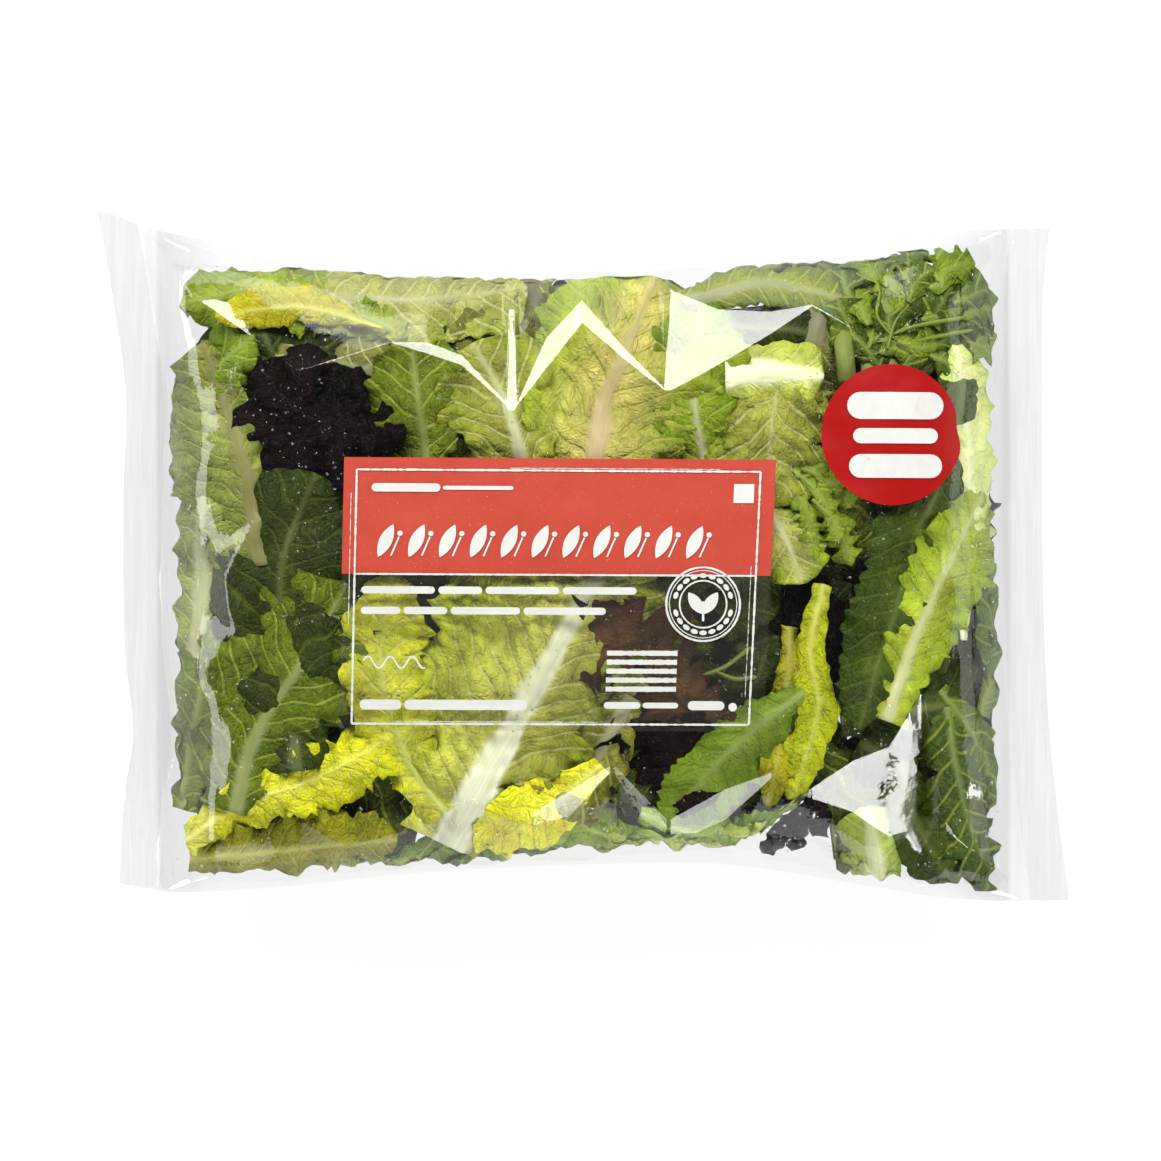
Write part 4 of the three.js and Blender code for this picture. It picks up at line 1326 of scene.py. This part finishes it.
def emblem():
    """Three rings with spots between them around a plain sprout."""
    middle = label_place(*EMBLEM_MIDDLE)
    angle = np.linspace(0, 2 * np.pi, 64)
    circle = np.stack([np.cos(angle), np.sin(angle)], 1)
    parts = [stroke(middle + radius * circle, width, 60, 0.3) for radius, width in EMBLEM_RINGS]
    for k in range(EMBLEM_SPOTS):
        turn = 2 * math.pi * k / EMBLEM_SPOTS
        if k % 10:
            spot = middle + SPOT_RADIUS * np.array([math.cos(turn), math.sin(turn)])
            parts.append(disc(spot, 0.85, 10, 1.6, turn))
    for side in (-1, 1):
        parts.append(leaf_shape(middle + (0, -3.5), middle + (5.2 * side, 4.2), 4.2))
    parts.append(stroke(np.array([middle + (0, 1.0), middle + (0, -6.0)]), 0.8))
    return parts


def white_print():
    """The white ink: a frame, plain bars, a row of leaves, a squiggle, a ring emblem and a striped block."""
    parts = printed_frame()
    parts += [bar(*row) for row in TITLE_BARS]
    parts.append(label_patch(*TITLE_BLOCK))
    parts += printed_leaves()
    parts += [bar(*row) for row in TEXT_BARS]
    u = np.linspace(0.055, 0.2, 60)
    parts.append(stroke(label_place(u, 0.25 + 0.022 * np.sin(u * 120)), 0.7, 61, 0.3))
    parts += [bar(*row) for row in FOOT_BARS]
    parts += emblem()
    for k in range(STRIPES):
        v = 0.155 + 0.033 * k
        parts.append(rule((0.625, v), (0.79, v), 1.9, 70 + k, 0.25))
    parts += [bar(*row) for row in CORNER_BARS]
    parts.append(disc(label_place(0.925, 0.09), 1.5, 16))
    return gather(parts)


def build_label(materials):
    """The red field, the see-through field under it and the white ink over both."""
    red, triangles = label_patch(0, 1, RED_START, 1)
    top = draped("label_red", red, triangles, LABEL_GAP, materials["label_print"])
    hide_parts("label")
    tint, triangles = label_patch(0, 1, 0, RED_START)
    draped("label_tint", tint, triangles, LABEL_GAP, materials["label_tint"])
    points, triangles = white_print()
    draped("label_ink", points, triangles, INK_GAP, materials["print_white"])


STICKER_BANDS = 22
STICKER_SPOKES = 96
# Dents in the sticker's edge: how deep in millimetres, at which angle and how wide in radians.
STICKER_DENTS = [(1.3, 0.12, 0.2), (-0.5, -0.25, 0.18)]
# The sticker's bars: height, left and right end in photograph pixels, and thickness in millimetres.
STICKER_BARS = [(407, 858, 928, 9.6), (437, 858, 928, 5.4), (467, 858, 928, 8.4)]


def sticker_outline(angle):
    """The sticker's radius by angle."""
    dents = [depth * np.exp(-((angle - place) / width) ** 2) for depth, place, width in STICKER_DENTS]
    return STICKER_RADIUS - sum(dents)


def build_sticker(materials):
    """The red round sheet, in bands so that it drapes, and white bars on it."""
    share = np.linspace(0, 1, STICKER_BANDS + 1)[1:]
    angle = np.linspace(-np.pi, np.pi, STICKER_SPOKES, endpoint=False)
    radius = share[:, None] * sticker_outline(angle)[None, :]
    x = STICKER_MIDDLE[0] + radius * np.cos(angle)
    y = STICKER_MIDDLE[1] + radius * np.sin(angle)
    plan_points = np.concatenate([[STICKER_MIDDLE], np.stack([x, y], -1).reshape(-1, 2)])
    s = np.arange(STICKER_SPOKES)
    after = (s + 1) % STICKER_SPOKES
    triangles = [np.stack([np.zeros(STICKER_SPOKES, int), 1 + s, 1 + after], 1)]
    for band in range(STICKER_BANDS - 1):
        a, b = 1 + band * STICKER_SPOKES + s, 1 + band * STICKER_SPOKES + after
        triangles.append(np.stack([a, a + STICKER_SPOKES, b + STICKER_SPOKES], 1))
        triangles.append(np.stack([a, b + STICKER_SPOKES, b], 1))
    red = materials["sticker_print"]
    piece = draped("sticker_red", plan_points, np.concatenate(triangles), LABEL_GAP, red)
    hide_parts("sticker")
    bars = [rounded(np.array([plan(left, py), plan(right, py)]), height, 20)
            for py, left, right, height in STICKER_BARS]
    points, triangles = gather(bars)
    draped("sticker_ink", points, triangles, INK_GAP, materials["print_white"])


# Printed film: its worn specks' colour, and its shine.
SPECK_COLOUR = (0.9, 0.9, 0.86, 1)
PRINT_GLOSS = 0.2
TINT_CLEAR = (0.94, 0.94, 0.92, 1)
# The share of light that a water drop lets through, darkened as painted shade in place of the dark rim that a
# drop's bending of light shows.
WATER_CLEAR_PAINTED_SHADE = (0.82, 0.84, 0.8, 1)


def print_material(name, colour, roughness, coat, speck=0.0):
    """Printed film: an even ink with faint mottling, small worn specks and a glossy surface."""
    graph = Graph(name)
    place = object_place(graph)
    mottle = graph.noise(place, 2.2, 4.0, 0.6)
    darker = tuple(c * 0.94 for c in colour[:3]) + (1,)
    shaded = graph.blend(graph.step(0.25, 0.75, mottle), darker, colour)
    specks = graph.step(0.74, 0.8, graph.noise(place, 26.0, 1.0))
    return graph.finish(graph.surface({
        "Base Color": graph.blend(graph.times(specks, speck), shaded, SPECK_COLOUR),
        "Roughness": graph.times_plus(mottle, 0.12, roughness),
        "Normal": graph.bump(graph.noise(place, 1.3, 2.0), 0.3, 0.8),
        "Specular IOR Level": PRINT_GLOSS,
        "Coat Weight": coat,
    }))


def tint_material():
    """The see-through lower field of the label: a faint smoky ink on clear film."""
    graph = Graph("label_tint")
    cloud = graph.noise(object_place(graph), 1.6, 3.0)
    colour = graph.blend(cloud, linear(150, 150, 138), linear(178, 178, 164))
    ink = graph.surface({"Base Color": colour, "Roughness": 0.35})
    return graph.finish_mix(graph.times_plus(cloud, 0.03, 0.02), graph.clear(TINT_CLEAR), ink)


def water_material():
    graph = Graph("water")
    rough = graph.times_plus(graph.noise(object_place(graph), 8.0, 1.0), 0.08, 0.02)
    facing = graph.times_plus(graph.node("Fresnel", {"IOR": 1.5}).outputs[0], 0.8, 0.03)
    # The drops' see-through share is darkened: painted shade for their rims.
    return graph.finish_mix(facing, graph.clear(WATER_CLEAR_PAINTED_SHADE), graph.mirror(Roughness=rough))


# Water drops on the inside of the film.

DROP_COUNT = 3400
DROP_RADIUS = (0.2, 0.56)
DROPS_ALONG = (-146, 148)
DROPS_ACROSS = (-112, 108)
DROP_EDGE_ROOM = 8
DROP_GAP = 0.12
# A drop's rings, as shares of its radius out and down, and how far down its lowest point is.
DROP_SPOKES = 6
DROP_RINGS = ((1.0, 0.0), (0.72, 0.42))
DROP_DEPTH = 0.6


def build_drops(material):
    """Small domes that hang under the film, in clouds, each tilted as the film is there."""
    rng = np.random.default_rng(77)
    x = rng.uniform(*DROPS_ALONG, DROP_COUNT)
    y = rng.uniform(*DROPS_ACROSS, DROP_COUNT)
    in_cloud = even_waves(x, y, 31, 60, 8) > -0.35
    keep = in_cloud & (y < edge_out(x, 1) - DROP_EDGE_ROOM) & (y > -edge_out(x, -1) + DROP_EDGE_ROOM)
    x, y = x[keep], y[keep]
    radius = mix(*DROP_RADIUS, rng.uniform(0, 1, len(x)) ** 3)
    top = film_top(x, y) - DROP_GAP
    slope_x = film_top(x + 0.5, y) - film_top(x - 0.5, y)
    slope_y = film_top(x, y + 0.5) - film_top(x, y - 0.5)
    angle = np.linspace(0, 2 * np.pi, DROP_SPOKES, endpoint=False)
    points = []
    for share, fall in DROP_RINGS:
        dx = radius[:, None] * share * np.cos(angle)
        dy = radius[:, None] * share * np.sin(angle)
        z = top[:, None] + slope_x[:, None] * dx + slope_y[:, None] * dy - radius[:, None] * fall
        points.append(np.stack([x[:, None] + dx, y[:, None] + dy, z], -1))
    points.append(np.stack([x, y, top - radius * DROP_DEPTH], -1)[:, None, :])
    points.append(np.stack([x, y, top], -1)[:, None, :])
    block = np.concatenate(points, 1)
    s = np.arange(DROP_SPOKES)
    after = (s + 1) % DROP_SPOKES
    inner, inner_after = s + DROP_SPOKES, after + DROP_SPOKES
    low, high = np.full(DROP_SPOKES, 2 * DROP_SPOKES), np.full(DROP_SPOKES, 2 * DROP_SPOKES + 1)
    corners = [(s, inner_after, after), (s, inner, inner_after), (inner, low, inner_after), (s, after, high)]
    one = np.concatenate([np.stack(three, 1) for three in corners])
    triangles = (np.arange(len(x)) * block.shape[1])[:, None, None] + one[None]
    drops = make_mesh("water_drops", block.reshape(-1, 3), triangles.reshape(-1, 3), material)


# The camera, the floor and the lights.


LIGHT_LEVEL = 1.66
LIGHT_TARGET = Vector((0, 0, 0.05))
# Name, azimuth, elevation, distance, size and radiance of each light, in degrees and metres. Azimuth 0 is +Y
# and 90 is +X.
LIGHTS = [
    ("far_softbox", -10, 44, 1.45, (0.98, 0.46), 7.4),
    ("far_left_softbox", -41, 35, 1.45, (0.48, 0.42), 7.4),
    ("far_right_softbox", 30, 41, 1.45, (0.54, 0.44), 7.2),
    ("near_softbox", 151, 43, 1.45, (0.62, 0.38), 4.2),
    ("near_left_softbox", 205, 44, 1.45, (0.42, 0.36), 2.4),
    ("near_right_softbox", 140, 34, 1.5, (0.42, 0.34), 7.6),
    ("near_right_panel", 114, 6, 1.8, (0.34, 0.42), 8.2),
    ("far_panel", -14, 11, 1.8, (1.2, 0.46), 1.7),
    ("near_panel", 180, 8, 1.8, (1.7, 0.4), 1.1),
    ("left_panel", -90, 8, 1.8, (1.6, 0.44), 3.0),
    ("right_panel", 90, 8, 1.8, (1.6, 0.4), 1.0),
]
FLOOR_GLOW = 0.88
FLOOR_SHADES = ((0.15, 0.15, 0.15, 1), (0.17, 0.17, 0.17, 1))
FLOOR_HALF = 6
FLOOR_DROP = 0.0006
SKY = (0.98, 0.99, 1.0, 1)
SKY_STRENGTH = 0.06
SENSOR_WIDTH = 36
CAMERA_RANGE = 20


def build_camera():
    """A camera straight above the middle of the photograph, with its frame."""
    data = bpy.data.cameras.new("camera")
    camera = put_in_scene("camera", data)
    x, y = plan(PHOTO_SIZE / 2, PHOTO_SIZE / 2)
    camera.location = (x * MM, y * MM, CAMERA_HEIGHT)
    field = PHOTO_SIZE / PIXELS_PER_MM * MM
    data.sensor_width = SENSOR_WIDTH
    data.lens = SENSOR_WIDTH / (field / (CAMERA_HEIGHT - SCALE_PLANE))
    data.clip_end = CAMERA_RANGE
    bpy.context.scene.camera = camera


def softbox(name, azimuth, elevation, distance, size, radiance):
    """An area light that looks equally bright from its front."""
    data = bpy.data.lights.new(name, "AREA")
    data.shape = "RECTANGLE"
    data.size, data.size_y = size
    data.energy = LIGHT_LEVEL * radiance * size[0] * size[1] * math.pi
    light = put_in_scene(name, data)
    turn, rise = math.radians(azimuth), math.radians(elevation)
    direction = Vector((math.sin(turn) * math.cos(rise), math.cos(turn) * math.cos(rise), math.sin(rise)))
    light.location = LIGHT_TARGET + direction * distance
    light.rotation_euler = direction.to_track_quat("Z", "Y").to_euler()


def build_floor():
    graph = Graph("floor")
    colour = graph.blend(graph.noise(object_place(graph), 0.02, 1.0), *FLOOR_SHADES)
    glow = {"Emission Color": WHITE, "Emission Strength": FLOOR_GLOW}
    material = graph.finish(graph.surface({"Base Color": colour, "Roughness": 0.9, **glow}))
    mesh = bpy.data.meshes.new("floor")
    corners = [(x * FLOOR_HALF, y * FLOOR_HALF, 0) for x, y in ((-1, -1), (1, -1), (1, 1), (-1, 1))]
    mesh.from_pydata(corners, [], [(0, 1, 2, 3)])
    mesh.materials.append(material)
    floor = put_in_scene("floor", mesh)
    floor.location.z = -FLOOR_DROP


def build_studio():
    """The floor, a faint sky and the lights."""
    build_floor()
    world = bpy.data.worlds.new("studio")
    world.use_nodes = True
    background = world.node_tree.nodes["Background"]
    background.inputs[0].default_value = SKY
    background.inputs[1].default_value = SKY_STRENGTH
    bpy.context.scene.world = world
    for light in LIGHTS:
        softbox(*light)
    bpy.context.scene.view_settings.view_transform = "Standard"


build_camera()
build_studio()
shown_leaves()
red_cluster()
feather_bunches()
filling_leaves()
join_leaves()
build_film(film_material())
PRINT = {
    "label_print": print_material("label_print", linear(180, 68, 53), 0.36, 0.1, 0.5),
    "label_tint": tint_material(),
    "print_white": print_material("print_white", linear(206, 206, 199), 0.42, 0.05),
    "sticker_print": print_material("sticker_print", linear(154, 10, 8), 0.36, 0.04),
}
build_label(PRINT)
build_sticker(PRINT)
build_drops(water_material())
